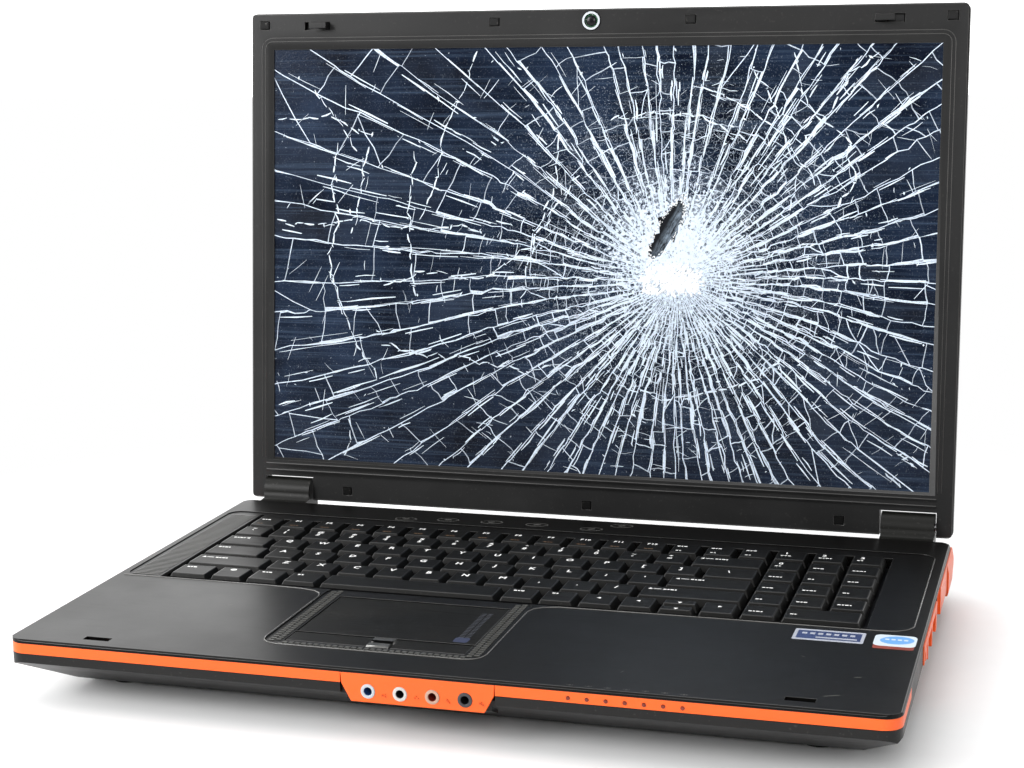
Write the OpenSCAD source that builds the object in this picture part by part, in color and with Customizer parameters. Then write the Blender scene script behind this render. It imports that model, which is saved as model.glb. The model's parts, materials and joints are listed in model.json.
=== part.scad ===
// Seventeen-inch notebook computer with a shattered screen. Millimetres, +Z up.
// The origin is on the table, under the middle of the whole machine as it stands open.
// Base pieces are drawn from the base's front edge: +X right, +Y back, Z above the table.
// Lid pieces are drawn from the lid's bottom edge: X right, Y up the lid, Z out of its face.

/* [Base] */
// Width of the base and of the lid
body_w = 395; // [380:1:480]
// Depth of the base, front edge to rear edge
base_d = 259; // [255:1:320]
// Height of the deck above the table
deck_z = 30; // [29:0.5:36]
// Thickness of the deck plate
deck_t = 2; // [1.8:0.1:2.4]
// Corner radius of the base in plan
corner_r = 8; // [2:1:12]
// Height of the upright rim round the base, deck included
rim_h = 10.8; // [10:0.1:12]
// Wall of the bottom case
wall = 2; // [1.6:0.1:2.4]
// Height of the rubber feet
foot_h = 3; // [2.5:0.5:3.5]
// How far the belly's flat bottom is set in from the front edge
belly_front = 30; // [22:1:32]
// How far the belly's flat bottom is set in from each side
belly_side = 18; // [12:1:20]
// How far the belly's flat bottom is set in from the rear edge
belly_rear = 5; // [3:1:8]

/* [Front trim] */
// Height of the coloured band
band_h = 4.6; // [3:0.1:5]
// Thickness of the band
band_t = 2; // [1.6:0.1:2.4]
// How far the band runs back along each side
band_wrap = 40; // [20:1:60]
// Left end of the jack panel's top edge
panel_x0 = -37; // [-60:0.5:-35]
// Right end of the jack panel's top edge
panel_x1 = 31.5; // [31:0.5:60]
// Height of the jack panel
panel_h = 12.6; // [10:0.1:13]
// How far each end of the panel slopes in towards its bottom edge
panel_slope = 4.6; // [2:0.1:8]
// Distance from one audio jack to the next
jack_pitch = 14.37; // [12:0.01:16]
// Radius of an audio jack's bore
jack_bore_r = 1.8; // [1.75:0.01:1.85]
// Distance from one status light to the next
light_pitch = 7.95; // [6:0.05:9]

/* [Keyboard] */
// Width of a single key's place
key_pitch = 19; // [17:0.05:19.2]
// Depth of a key row
row_pitch = 18.9; // [16:0.1:19]
// Distance from the front edge to the first key row
keys_front = 108; // [106:1:125]
// Gap between two keycaps at their skirts
key_gap = 0.9; // [0.6:0.1:1.4]
// Height of the keycaps above the deck
key_rise = 1; // [0:0.1:1.1]
// How far a key travels
key_travel = 2.5; // [1.5:0.1:2.5]

/* [Touchpad] */
// Width of the pad
pad_w = 84; // [60:1:96]
// Depth of the pad
pad_d = 53; // [40:1:56]
// Middle of the pad, right of the centre line
pad_x = -33; // [-60:1:20]
// Distance from the front edge to the pad's near edge
pad_front = 44; // [42:1:50]
// Depth of the two buttons
button_d = 13.2; // [9:0.1:14]

/* [Lid] */
// Thickness of the lid
lid_t = 9; // [8.6:0.1:12]
// How far the open lid leans back from upright
lid_lean = 5.35; // [0:0.05:40]
// Width of the frame beside the screen
frame_side = 12.9; // [12:0.1:16]
// Width of the frame above the screen
frame_top = 20; // [19:0.1:26]
// Width of the frame below the screen
frame_foot = 22.25; // [20:0.05:28]
// Thickness of the frame
frame_t = 2.4; // [2:0.1:2.6]
// Thickness of the screen's glass
glass_t = 1.1; // [0.7:0.1:1.2]
// Impact point, right of the screen's middle
impact_x = 48.5; // [-120:0.5:120]
// Impact point, above the bottom edge of the visible screen
impact_v = 107.5; // [50:0.5:180]

/* [Hinge] */
// Hinge axis behind the rear edge of the base
hinge_back = 12.57; // [11:0.01:16]
// Hinge axis above the deck
hinge_up = 4.2; // [4:0.1:6]
// Hinge axis above the lid's bottom edge
hinge_v = 4.1; // [4:0.1:6]
// Radius of the hinge pin
pin_r = 2; // [1.5:0.1:2.2]
// Running clearance of the pin in its barrel
pin_fit = 0.05; // [0.02:0.01:0.1]
// Middle of each hinge, from the centre line
hinge_x = 174.5; // [160:0.1:174.5]
// Width of a hinge cap
cap_w = 27.5; // [22:0.5:28]

/* [Hidden] */
$fn = 48;
eps = 0.01;
fit = 0.3;            // gap between two parts that only lie side by side
snug = 0.2;           // gap between a trim and its pocket
easy = 0.4;           // gap round something that slides out
cover_gap = 1.2;      // gap between the closed lid's face and the deck
hinge_in = hinge_up - cover_gap;
lid_setback = 2;      // the closed lid stops this far behind the front edge
lid_len = base_d + hinge_back + hinge_v - lid_setback;
lid_edge = 2.4;       // chamfer round the lid's back
skin_t = 1.8;         // wall of the lid's back cover
lid_lip = 1.2;        // the lid's lower edge hangs this far below its datum
lid_reach = (lid_len - lid_edge - hinge_v) * sin(lid_lean) + (lid_t - hinge_in) * cos(lid_lean);
jack_proud = 0.4;     // audio jacks stand this far out of the panel
front_y = -(base_d + hinge_back + lid_reach - jack_proud) / 2;
floor_z = foot_h + wall;
rim_z = deck_z - rim_h;
under_deck = deck_z - deck_t;
band_z1 = under_deck;
band_z0 = band_z1 - band_h;
plate_t = 1.2;
plate_z = deck_z - 5.8 - plate_t;    // underside of the keyboard plate
key_low = plate_z + plate_t + key_travel + 0.3;
key_top = deck_z + key_rise;
keys_x0 = -172.4;
keys_w = 18 * key_pitch;
well_gap = 2;         // from the outer keys to the wall of the keyboard well
well_back = keys_front + 6 * row_pitch + well_gap;
stem = 4;             // square guide stem under each key
trim_t = 4;           // thickness of the side trims
trim_back = base_d - 1.6;
shoulder = 1.5;       // how far the rear of a side trim stands out
shoulder_len = 33;
screen_w = body_w - 2 * frame_side;
screen_h = lid_len - frame_top - frame_foot;

// ---- frames of reference and shared shapes ----

module on_base() translate([0, front_y, 0]) children();

module on_lid()
    translate([0, front_y + base_d + hinge_back, deck_z + hinge_up])
        rotate([90 - lid_lean, 0, 0])
            translate([0, -hinge_v, hinge_in])
                children();

module both_sides() {
    children();
    mirror([1, 0, 0]) children();
}

// A block given by its two corners
module block(a, b) translate(a) cube(b - a);

// Quarter-circle corner points of a rectangle from a to b, with n steps a corner
function round_rect(a, b, r, n = 6) = [
    for (q = [[b[0] - r, b[1] - r, 0], [a[0] + r, b[1] - r, 90], [a[0] + r, a[1] + r, 180],
              [b[0] - r, a[1] + r, 270]])
        for (i = [0:n])
            [q[0] + r * cos(q[2] + 90 * i / n), q[1] + r * sin(q[2] + 90 * i / n)]
];

// Outline in plan of the base, set in by d
module plan(d, z0, z1)
    translate([0, 0, z0])
        linear_extrude(z1 - z0)
            polygon(round_rect([-body_w / 2 + d, d], [body_w / 2 - d, base_d - d], max(corner_r - d, 1)));

// A prism along X from side-view points [y, z]
module along_x(x0, x1, points)
    translate([x0, 0, 0])
        rotate([90, 0, 90])
            linear_extrude(x1 - x0)
                polygon(points);

// A prism along Y from front-view points [x, z]
module along_y(y0, y1, points)
    translate([0, y1, 0])
        rotate([90, 0, 0])
            linear_extrude(y1 - y0)
                polygon(points);

// Four-sided frustum: bottom rectangle a to b, drawn in by s = [left, right, front, back] at the top
module frustum(a, b, z0, z1, s)
    intersection() {
        along_y(a[1], b[1], [[a[0], z0], [b[0], z0], [b[0] - s[1], z1], [a[0] + s[0], z1]]);
        along_x(a[0], b[0], [[a[1], z0], [b[1], z0], [b[1] - s[3], z1], [a[1] + s[2], z1]]);
    }

// ---- bottom case ----

// Places and sizes of what the base holds; the pairs a and b are opposite corners in plan
service_a = [-40, 106];
service_b = [96, 172];
drive_a = [66, 36];
drive_b = [158, 96];
battery_a = [-105, 204];
battery_top = floor_z + 13.4;
latch_y = battery_a[1] - 8;      // middle of the battery's latch
foot_r = 8;
foot_places = [[-160, 44], [160, 44], [-160, base_d - 20], [160, base_d - 20]];
board_a = [-60, 98];
board_b = [body_w / 2 - 11.5, 178];
board_z = floor_z + 9.6;
board_t = 1.6;
screw_places = [[-168, 60], [168, 60], [-168, base_d - 38], [150, 174], [-52, 184], [108, 100],
                [0, 38], [-100, 38]];
screw_r = 1.25;
head_r = 2.6;
jack_z = deck_z - 9.6;
jack_body_r = 3.2;
sockets = [[118, 13.2, 7], [140, 13.2, 7], [165, 16, 11.4]];   // place along Y, width, height
disc_front = 72;      // disc drive: front side, then its standard width and height
disc_w = 128;
disc_h = 12.7;
disc_z = floor_z + 2.6;
disc_x = -(body_w / 2 - 3.4);     // outer face of the disc drive's case
disc_len = 126;
inlet_x = -150;
inlet_z = floor_z + 8;
inlet_r = 5.4;
fan_r = 27;
fan_x = 148;
fan_y = 213;
fan_side = 60;
fan_top = floor_z + 12;
drive_z = floor_z + 6;
drive_y = 25;         // hard drive, from the front edge
// Lower edges of the side trims, seen from the side, from their front end to the back
right_edge = [[94, rim_z], [106, rim_z - 1], [115, floor_z + 10],
              [trim_back - shoulder_len - 4, floor_z + 9.6],
              [trim_back - shoulder_len, floor_z + 6.5],
              [trim_back - 10, floor_z + 6.5], [trim_back, floor_z + 14]];
left_edge = [[64, rim_z], [67, floor_z + 0.4],
             [trim_back - 6, floor_z + 0.4], [trim_back, floor_z + 6]];

// The case's outer form, set in by d all over
module belly(d, z1) {
    w = body_w / 2;
    flank(right_edge, d, z1);
    mirror([1, 0, 0]) flank(left_edge, d, z1);
    intersection() {
        plan(d, foot_h, z1);
        along_x(-w, w, [[belly_front + d * 0.7, foot_h + d], [base_d - belly_rear - d, foot_h + d],
                        [base_d - d, rim_z - 6], [base_d - d, z1], [d, z1], [d, rim_z + d * 0.7]]);
        along_y(0, base_d, [[-w + belly_side + d * 0.7, foot_h + d], [w - belly_side - d * 0.7, foot_h + d],
                            [w - d, rim_z + d * 0.7], [w - d, z1], [-w + d, z1], [-w + d, rim_z + d * 0.7]]);
    }
}

// Upright side of the case behind a side trim
module flank(edge, d, z1)
    along_x(belly_side, body_w / 2 - trim_t - snug - d,
            concat([[trim_back, z1], [edge[0][0] + d, z1]],
                   [for (p = edge) [min(p[0] + d, trim_back), p[1] + d]]));

module case_holes() {
    // bays of the bottom covers
    block([service_a[0], service_a[1], 0], [service_b[0], service_b[1], floor_z + eps]);
    block([drive_a[0], drive_a[1], 0], [drive_b[0], drive_b[1], floor_z + eps]);
    // battery bay, open below and behind
    block([battery_a[0] - fit, battery_a[1] - fit, 0], [-battery_a[0] + fit, base_d + 1, battery_top + fit]);
    // slot of the battery latch
    block([-10.4, latch_y - 3.3, 0], [10.4 + 4, latch_y + 3.3, floor_z + eps]);
    block([10.6, battery_a[1] - 2, floor_z + 0.1], [17.6, battery_a[1], floor_z + 2.2]);
    // screws
    for (p = screw_places) {
        translate([p[0], p[1], foot_h - 1]) cylinder(r = head_r + 0.15, h = 2.2);
        translate([p[0], p[1], 0]) cylinder(r = screw_r + 0.1, h = floor_z + 8);
    }
    // band and jack panel at the front
    difference() {
        plan(-1, band_z0 - snug, deck_z);
        plan(band_t + snug, band_z0 - 1, deck_z + 1);
        block([-body_w, band_wrap + snug, 0], [body_w, base_d + 5, deck_z]);
    }
    block([panel_x0 - snug, -1, band_z1 - panel_h - snug], [panel_x1 + snug, band_t + snug, deck_z]);
    block([panel_x0 + 6, -1, jack_z - 4.2], [panel_x1 - 6, 15, under_deck + 1]);
    block([60, 0, band_z0 - snug], [114, wall + 5, under_deck + 1]);
    // side trims
    trim_pocket(right_edge);
    mirror([1, 0, 0]) trim_pocket(left_edge);
    // sockets in the right wall, tray in the left wall
    for (s = sockets)
        block([body_w / 2 - 30, s[0] - 0.3, board_z + board_t],
              [body_w, s[0] + s[1] + 0.3, board_z + board_t + s[2] + 0.3]);
    block([-body_w, disc_front - easy, disc_z - easy],
          [disc_x + disc_len, disc_front + disc_w + easy, disc_z + disc_h + easy]);
    // power inlet and fan outlet in the rear wall
    translate([inlet_x, base_d + 1, inlet_z]) rotate([90, 0, 0]) cylinder(r = inlet_r, h = 12);
    for (i = [0:8])
        block([fan_x - 26 + 6 * i, base_d - 12, floor_z + 3],
              [fan_x - 22.5 + 6 * i, base_d + 1, fan_top - 1]);
    // fan inlet slots in the belly
    for (i = [-4:4])
        block([fan_x + 5 * i - 1.3, fan_y - sqrt(400 - 25 * i * i * 0.9), 0],
              [fan_x + 5 * i + 1.3, fan_y + sqrt(400 - 25 * i * i * 0.9), floor_z + eps]);
    // hinge feet through the rear wall
    both_sides() block([hinge_x - 9, base_d - 12, hinge_foot_z - 0.4],
                       [hinge_x + 9, base_d + 1, under_deck + 1]);
}

module trim_pocket(edge) block([body_w / 2 - trim_t - snug, edge[0][0] - snug, 0],
                               [body_w, base_d + 5, deck_z]);

module bottom_case() color([0.09, 0.09, 0.09]) on_base() difference() {
    union() {
        difference() {
            belly(0, under_deck);
            difference() {
                belly(wall, under_deck + 1);
                // walls that the side trims stand against
                block([body_w / 2 - trim_t - wall - snug, right_edge[0][0] - wall, 0],
                      [body_w, base_d, deck_z]);
                block([-body_w, left_edge[0][0] - wall, 0],
                      [-body_w / 2 + trim_t + wall + snug, base_d, deck_z]);
                // wall round the battery bay
                block([battery_a[0] - 1.4, battery_a[1] - 1.4, 0],
                      [-battery_a[0] + 1.4, base_d, battery_top + 1.3]);
                // the chin behind the jack panel
                block([panel_x0 + 2, 0, 0], [panel_x1 - 2, band_t + 2.4, rim_z + 4]);
            }
        }
        // chin that carries the jack panel
        along_x(panel_x0 + 2, panel_x1 - 2,
                [[band_t + snug, band_z1 - panel_h + 0.4], [belly_front * 0.36, rim_z - 7.5],
                 [belly_front * 0.36, rim_z], [band_t + snug, rim_z]]);
        case_posts();
    }
    case_holes();
}

// Posts and ribs moulded on the floor
module case_posts() {
    for (p = screw_places) translate([p[0], p[1], foot_h + 1.6]) cylinder(r = 3.4,
                                                                          h = board_z - foot_h - 1.6);
    for (p = [[-52, 102], [178, 102], [-52, 174], [100, 174]])
        translate([p[0], p[1], floor_z - 1]) cylinder(r = 2.6, h = board_z - floor_z + 1);
    // rails under the disc drive and the hard drive
    for (y = [disc_front + 8, disc_front + disc_w - 11])
        block([-body_w / 2 + belly_side + 6, y, floor_z - 1], [disc_x + disc_len, y + 3, disc_z]);
    for (x = [59.4, 162.3]) block([x, 40, floor_z - 1], [x + 2.3, 92, drive_z + 5]);
    // shelves under the feet of the hinges
    both_sides() block([hinge_x + 4, base_d - 20, hinge_foot_z - 3],
                       [body_w / 2 - trim_t - wall, base_d - wall, hinge_foot_z]);
    // cradle of the power inlet
    block([inlet_x - 8, base_d - 21, floor_z - 1], [inlet_x + 8, base_d - 5, inlet_z - 6]);
}

// ---- deck ----

well_a = [keys_x0 - well_gap, keys_front - well_gap];
well_b = [keys_x0 + keys_w + well_gap, well_back];
surround_side = 9.2;
surround_front = 21;
recess = 0.5;
slot_x = 156.5;
slot_w = 12.6;
slot_y = 9.2;
slot_d = 4.4;

module top_case() color([0.13, 0.13, 0.13]) on_base() difference() {
    union() {
        difference() {
            plan(0, under_deck, deck_z);
            // softened front and side edge
            difference() {
                plan(-1, deck_z - 0.8, deck_z + 1);
                frustum([-body_w / 2, 0], [body_w / 2, base_d], deck_z - 0.8, deck_z + eps,
                        [0.8, 0.8, 0.8, 0.8]);
            }
        }
        // locating rib inside the wall of the bottom case
        difference() {
            plan(max(band_t, wall) + wall + 0.8, under_deck - 4, under_deck + eps);
            plan(max(band_t, wall) + wall + 2.2, under_deck - 5, under_deck + 1);
            block([-body_w, -1, 0], [body_w, band_wrap, deck_z]);
            block([hinge_x - 12, base_d - 14, 0], [hinge_x + 12, base_d, under_deck]);
            block([-hinge_x - 12, base_d - 14, 0], [-hinge_x + 12, base_d, under_deck]);
            block([-body_w, left_edge[0][0] - 2, 0], [-body_w / 2 + 12, base_d, under_deck]);
            block([body_w / 2 - 12, right_edge[0][0] - 2, 0], [body_w, base_d, under_deck]);
        }
        // ledge that carries the keyboard plate
        difference() {
            block([well_a[0] - 2.4, well_a[1] - 2.4, plate_z],
                  [well_b[0] + 2.4, well_b[1] + 2.4, under_deck + eps]);
            block([well_a[0] - fit, well_a[1] - fit, plate_z - 1],
                  [well_b[0] + fit, well_b[1] + fit, deck_z]);
        }
    }
    // sunken field round the keyboard and the touchpad
    translate([0, 0, deck_z - recess]) linear_extrude(5)
        polygon(round_rect([-193.5, keys_front - 3], [191.5, well_back + 10], 7));
    translate([0, 0, deck_z - recess])
        linear_extrude(5)
            polygon(round_rect([pad_x - pad_w / 2 - surround_side, pad_front - surround_front],
                               [pad_x + pad_w / 2 + surround_side, keys_front], 8));
    // keyboard well
    block([well_a[0], well_a[1], 0], [well_b[0], well_b[1], deck_z + 5]);
    // openings of the touchpad and its buttons
    block([pad_x - pad_w / 2 - fit, pad_front - fit, 0],
          [pad_x + pad_w / 2 + fit, pad_front + pad_d + fit, deck_z + 5]);
    block([pad_x - pad_w / 2 - fit, pad_front - 1 - button_d - fit, 0],
          [pad_x + pad_w / 2 + fit, pad_front - 1 + fit, deck_z + 5]);
    // latch slots
    both_sides() block([slot_x - slot_w / 2, slot_y - slot_d / 2, 0],
                       [slot_x + slot_w / 2, slot_y + slot_d / 2, deck_z + 5]);
}

// ---- trims ----

module front_band() color([1, 0.35, 0.1]) on_base() difference() {
    union() {
        difference() {
            plan(0, band_z0, band_z1);
            plan(band_t, band_z0 - 1, band_z1 + 1);
            block([-body_w, band_wrap, 0], [body_w, base_d + 5, deck_z]);
            block([panel_x0 - 0.15, -1, 0], [panel_x1 + 0.15, band_t + 1, deck_z]);
        }
        // rail behind the jack panel that joins both halves
        block([panel_x0 - 3, band_t - eps, band_z1 - 2], [panel_x1 + 3, band_t + 1, band_z1 - fit]);
    }
    for (i = [0:6]) light_place(i) cylinder(r = 0.95, h = 10);
}

module light_place(i) translate([62.9 + light_pitch * i, -1, band_z0 + 1.9]) rotate([-90, 0, 0]) children();

module status_lights() color([0.5, 0.12, 0.02]) on_base() {
    for (i = [0:6]) translate([0, 0.8, 0]) light_place(i) cylinder(r = 0.8, h = band_t + 1.4);
    block([61, band_t + 0.6, band_z0 + 0.8], [112.6, band_t + 2.2, band_z0 + 3]);
}

module jack_places() for (i = [0:3]) translate([-24.6 + jack_pitch * i, 0, jack_z])
    rotate([-90, 0, 0]) children();

module jack_panel() color([1, 0.35, 0.1]) on_base() difference() {
    z0 = band_z1 - panel_h;
    along_y(0, band_t - 0.1, [[panel_x0, band_z1], [panel_x0 + 0.4, band_z0 - 0.4],
                              [panel_x0 + panel_slope, z0], [panel_x1 - panel_slope, z0],
                              [panel_x1 - 0.4, band_z0 - 0.4], [panel_x1, band_z1]]);
    jack_places() translate([0, 0, -1]) cylinder(r = jack_body_r + 0.05, h = 10);
}

module audio_jacks() color([0.8, 0.8, 0.78]) on_base() jack_places() difference() {
    union() {
        translate([0, 0, -jack_proud]) cylinder(r = jack_body_r, h = band_t + snug + jack_proud);
        translate([-5, -3.6, band_t + 0.1]) cube([10, 7.2, 11.5]);
    }
    translate([0, 0, -1]) cylinder(r = jack_bore_r, h = 13);
}

module side_trim(edge) {
    x1 = body_w / 2;
    y0 = edge[0][0];
    z0 = edge[len(edge) - 2][1];
    z1 = under_deck - 0.1;
    intersection() {
        union() {
            block([x1 - trim_t, y0, z0], [x1 + 0.6, trim_back, z1]);
            // shoulder at the rear
            along_y(trim_back - shoulder_len, trim_back,
                    [[x1, z0], [x1 + shoulder - 0.6, z0], [x1 + shoulder, z0 + 2],
                     [x1 + shoulder, z1 - 5], [x1 + 0.6, z1], [x1, z1]]);
        }
        along_x(0, body_w, concat([[trim_back, z1], [y0, z1]], edge));
    }
}

module right_side_trim() color([1, 0.35, 0.1]) on_base() difference() {
    side_trim(right_edge);
    for (s = sockets) {
        z = board_z + board_t;
        block([0, s[0] - 0.3, z - 0.3], [body_w, s[0] + s[1] + 0.3, z + s[2] + 0.3]);
        // scooped finger relief round each socket
        block([body_w / 2 - 1.2, s[0] - 2.5, z - 1.5], [body_w, s[0] + s[1] + 2.5, z + s[2] + 1]);
    }
    // notches ahead of the sockets
    for (y = [right_edge[0][0] + 4, right_edge[0][0] + 14])
        block([body_w / 2 - 1.6, y, 0], [body_w, y + 4, band_z0]);
}

module left_side_trim() color([1, 0.35, 0.1]) on_base() mirror([1, 0, 0]) difference() {
    side_trim(left_edge);
    block([0, disc_front - easy, disc_z - easy],
          [body_w, disc_front + disc_w + easy, disc_z + disc_h + easy]);
}

// ---- hinges ----

hinge_foot_z = deck_z + hinge_up - 11.8;
barrel_r = pin_r + 2.2;
cap_r = barrel_r + 1.7;
cap_nose = cap_r + 1.6;    // front of a hinge cap, from its axis
cap_crown = cap_r + 1.2;   // top of a hinge cap, from its axis

module at_hinge() translate([0, front_y + base_d + hinge_back, deck_z + hinge_up]) children();

module hinge_caps() color([0.27, 0.27, 0.26]) at_hinge() both_sides() {
    x0 = hinge_x - cap_w / 2;
    x1 = hinge_x + cap_w / 2;
    front = -hinge_back + 0.2;
    difference() {
        union() {
            along_x(x0, x1, concat([[front, -13], [cap_r, -9.5], [cap_r, 0]],
                                   [for (a = [45, 67, 90, 112, 135, 157])
                                       [cap_crown * cos(a), cap_crown * sin(a)]],
                                   [[0.1 - cap_nose, 0], [-cap_nose, -hinge_up + 0.2],
                                    [front, -hinge_up - 0.2]]));
            translate([x0, 0, 0]) rotate([0, 90, 0]) cylinder(r = cap_r, h = cap_w);
        }
        translate([x0 + 2.4, 0, 0]) rotate([0, 90, 0]) cylinder(r = barrel_r + 0.2, h = cap_w - 4.8);
        translate([hinge_x, 0, 0]) rotate([0, 90, 0]) cylinder(r = pin_r + 0.5, h = cap_w);
        block([hinge_x - 8.9, -5.4, -12.2], [hinge_x + 8.9, -2.3, 0]);
        block([hinge_x - 8.9, -hinge_back - 1, -12.2], [hinge_x + 8.9, -2.3, -9.7]);
    }
}

module hinge_barrels() color([0.6, 0.6, 0.62]) at_hinge() both_sides() {
    x0 = hinge_x - cap_w / 2 + 2.7;
    len = cap_w - 5.4;
    difference() {
        union() {
            translate([x0, 0, 0]) rotate([0, 90, 0]) cylinder(r = barrel_r, h = len);
            block([hinge_x - 8.5, -5.1, -11.8], [hinge_x + 8.5, -pin_r - 0.6, -0.5]);
            block([hinge_x - 8.5, -hinge_back - 24, -11.8], [hinge_x + 8.5, -pin_r - 0.6, -10]);
        }
        translate([x0 + 2, 0, 0]) rotate([0, 90, 0]) cylinder(r = pin_r + pin_fit, h = len);
    }
}

module hinge_arms() color([0.6, 0.6, 0.62]) on_lid() both_sides() {
    x1 = arm_x + 1.4;
    union() {
        block([arm_x, 2.4, -lid_t + skin_t + 0.3], [x1, 96, -frame_t - 0.3]);
        translate([hinge_x - cap_w / 2 + 5.4, hinge_v, -hinge_in])
            rotate([0, 90, 0])
                cylinder(r = pin_r, h = x1 - 0.2 - (hinge_x - cap_w / 2 + 5.4));
    }
}

// ---- keyboard ----

// Each key is [x in key widths from the left, width in key widths]
function starts(w, i = 0, x = 0) = i == len(w) ? [] : concat([[x, w[i]]], starts(w, i + 1, x + w[i]));
function ones(n, w = 1) = [for (i = [1:n]) w];
function pick(v, a, b) = [for (i = [a:b]) v[i]];

bottom_row = starts(concat([1.15, 1, 1, 1.05, 4.8], ones(6)));
lower_row = starts(concat([2.25], ones(10), [2.75]));
home_row = starts(concat([1.75], ones(11), [2.25]));
upper_row = starts(concat([1.5], ones(12), [1.5]));
number_row = starts(concat(ones(13), [2]));
function_row = starts(ones(16, 15 / 16));
pad_rows = [[[15, 1], [16, 2]], [for (i = [15:17]) [i, 1]]];

// Stems of a key: one in the middle, or two on a wide key
function stem_xs(k) = k[1] < 2 ? [k[0] + k[1] / 2] : [k[0] + k[1] / 2 - k[1] * 0.3,
                                                      k[0] + k[1] / 2 + k[1] * 0.3];

module at_row(row) on_base() translate([keys_x0, keys_front + row * row_pitch, 0]) children();

// One keycap: a hollow frustum with square stems; part = [from, to] keeps a share of its depth
module keycap(k, part = [0, 1]) {
    g = key_gap / 2;
    x0 = k[0] * key_pitch + g;
    x1 = (k[0] + k[1]) * key_pitch - g;
    y0 = row_pitch * part[0] + g;
    y1 = row_pitch * part[1] - g;
    difference() {
        frustum([x0, y0], [x1, y1], key_low, key_top, [1.9, 1.9, 2.2, 1.2]);
        block([x0 + 1.2, y0 + 1.2, key_low - 1], [x1 - 1.2, y1 - 1.2, key_low + 1.6]);
    }
    for (x = stem_xs(k))
        block([x * key_pitch - stem / 2, (y0 + y1) / 2 - stem / 2, plate_z + 0.3],
              [x * key_pitch + stem / 2, (y0 + y1) / 2 + stem / 2, key_low + 2]);
}

module stem_holes(k, part = [0, 1]) {
    s = stem / 2 + fit;
    for (x = stem_xs(k))
        translate([x * key_pitch - s, row_pitch * (part[0] + part[1]) / 2 - s, plate_z - 1])
            cube([2 * s, 2 * s, 5]);
}

module all_keys_of_row(row, keys) at_row(row) for (k = keys) stem_holes(k);

module keyboard_plate() color([0.05, 0.05, 0.05]) difference() {
    on_base() block([well_a[0], well_a[1], plate_z], [well_b[0], well_b[1], plate_z + plate_t]);
    all_keys_of_row(0, [for (i = [0:10]) if (i != 9) bottom_row[i]]);
    at_row(0) {
        stem_holes(bottom_row[9], [0, 0.5]);
        stem_holes(bottom_row[9], [0.5, 1]);
    }
    all_keys_of_row(1, lower_row);
    all_keys_of_row(2, home_row);
    all_keys_of_row(3, upper_row);
    all_keys_of_row(4, number_row);
    all_keys_of_row(5, function_row);
    for (r = [0:5]) all_keys_of_row(r, pad_rows[min(r, 1)]);
}

module key_row(row, keys) color([0.07, 0.07, 0.08]) at_row(row) for (k = keys) keycap(k);

module bottom_keys() {
    key_row(0, [for (i = [0:10]) if (i != 4 && i != 9) bottom_row[i]]);
    // the two half-depth arrow keys
    color([0.07, 0.07, 0.08]) at_row(0) {
        keycap(bottom_row[9], [0, 0.5]);
        keycap(bottom_row[9], [0.5, 1]);
    }
}
module space_bar() key_row(0, [bottom_row[4]]);
module lower_letter_keys() key_row(1, pick(lower_row, 1, 10));
module left_shift_key() key_row(1, [lower_row[0]]);
module right_shift_key() key_row(1, [lower_row[11]]);
module home_letter_keys() key_row(2, pick(home_row, 0, 11));
module enter_key() key_row(2, [home_row[12]]);
module upper_letter_keys() key_row(3, upper_row);
module number_keys() key_row(4, pick(number_row, 0, 12));
module backspace_key() key_row(4, [number_row[13]]);
module function_keys() key_row(5, function_row);
module number_pad_keys() for (r = [0:5]) key_row(r, pad_rows[min(r, 1)]);

// ---- touchpad ----

pad_top = deck_z - recess - 0.4;
divider_w = 10.6;
divider_x = pad_x + 1.5;
button_y0 = pad_front - 1 - button_d;

module touchpad() color([0.1, 0.1, 0.1]) on_base() {
    block([pad_x - pad_w / 2, pad_front, pad_top - 1.4], [pad_x + pad_w / 2, pad_front + pad_d, pad_top]);
    // sensor board behind the pad
    block([pad_x - pad_w / 2 + 4, pad_front + 4, pad_top - 3.2],
          [pad_x + pad_w / 2 - 4, pad_front + pad_d - 4, pad_top - 1.4 + eps]);
}

module touch_button(x0, x1) on_base() {
    frustum([x0, button_y0], [x1, button_y0 + button_d], pad_top - 2.6, pad_top + 0.3, [0, 0, 0.6, 0.6]);
}

module left_touch_button() color([0.12, 0.12, 0.12])
    touch_button(pad_x - pad_w / 2, divider_x - divider_w / 2 - fit);
module right_touch_button() color([0.12, 0.12, 0.12])
    touch_button(divider_x + divider_w / 2 + fit, pad_x + pad_w / 2);

module button_divider() color([0.6, 0.6, 0.6]) on_base() {
    x0 = divider_x - divider_w / 2;
    x1 = divider_x + divider_w / 2;
    block([x0, button_y0, pad_top - 2.6], [x1, button_y0 + button_d, pad_top]);
    for (y = [button_y0, button_y0 + button_d * 0.52])
        frustum([x0, y], [x1, y + button_d * 0.46], pad_top - eps, pad_top + 1, [0.3, 0.3, 0.5, 1.8]);
}

// ---- feet, covers, battery and screws ----

module feet() color([0.04, 0.04, 0.04]) on_base() for (p = foot_places) translate([p[0], p[1], 0])
    cylinder(r = foot_r, h = foot_h);

module cover(a, b) {
    block([a[0] + fit, a[1] + fit, foot_h], [b[0] - fit, b[1] - fit, floor_z - fit]);
    // stiffening ribs inside
    for (y = [a[1] + 8, b[1] - 10]) block([a[0] + 6, y, floor_z - 1], [b[0] - 6, y + 2, floor_z + 1.2]);
}

module service_cover() color([0.1, 0.1, 0.1]) on_base() difference() {
    cover(service_a, service_b);
    // air slots
    for (i = [0:7]) block([service_a[0] + 70 + 6 * i, service_a[1] + 18, 0],
                          [service_a[0] + 73 + 6 * i, service_a[1] + 48, floor_z + 5]);
}

module drive_cover() color([0.1, 0.1, 0.1]) on_base() cover(drive_a, drive_b);

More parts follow.
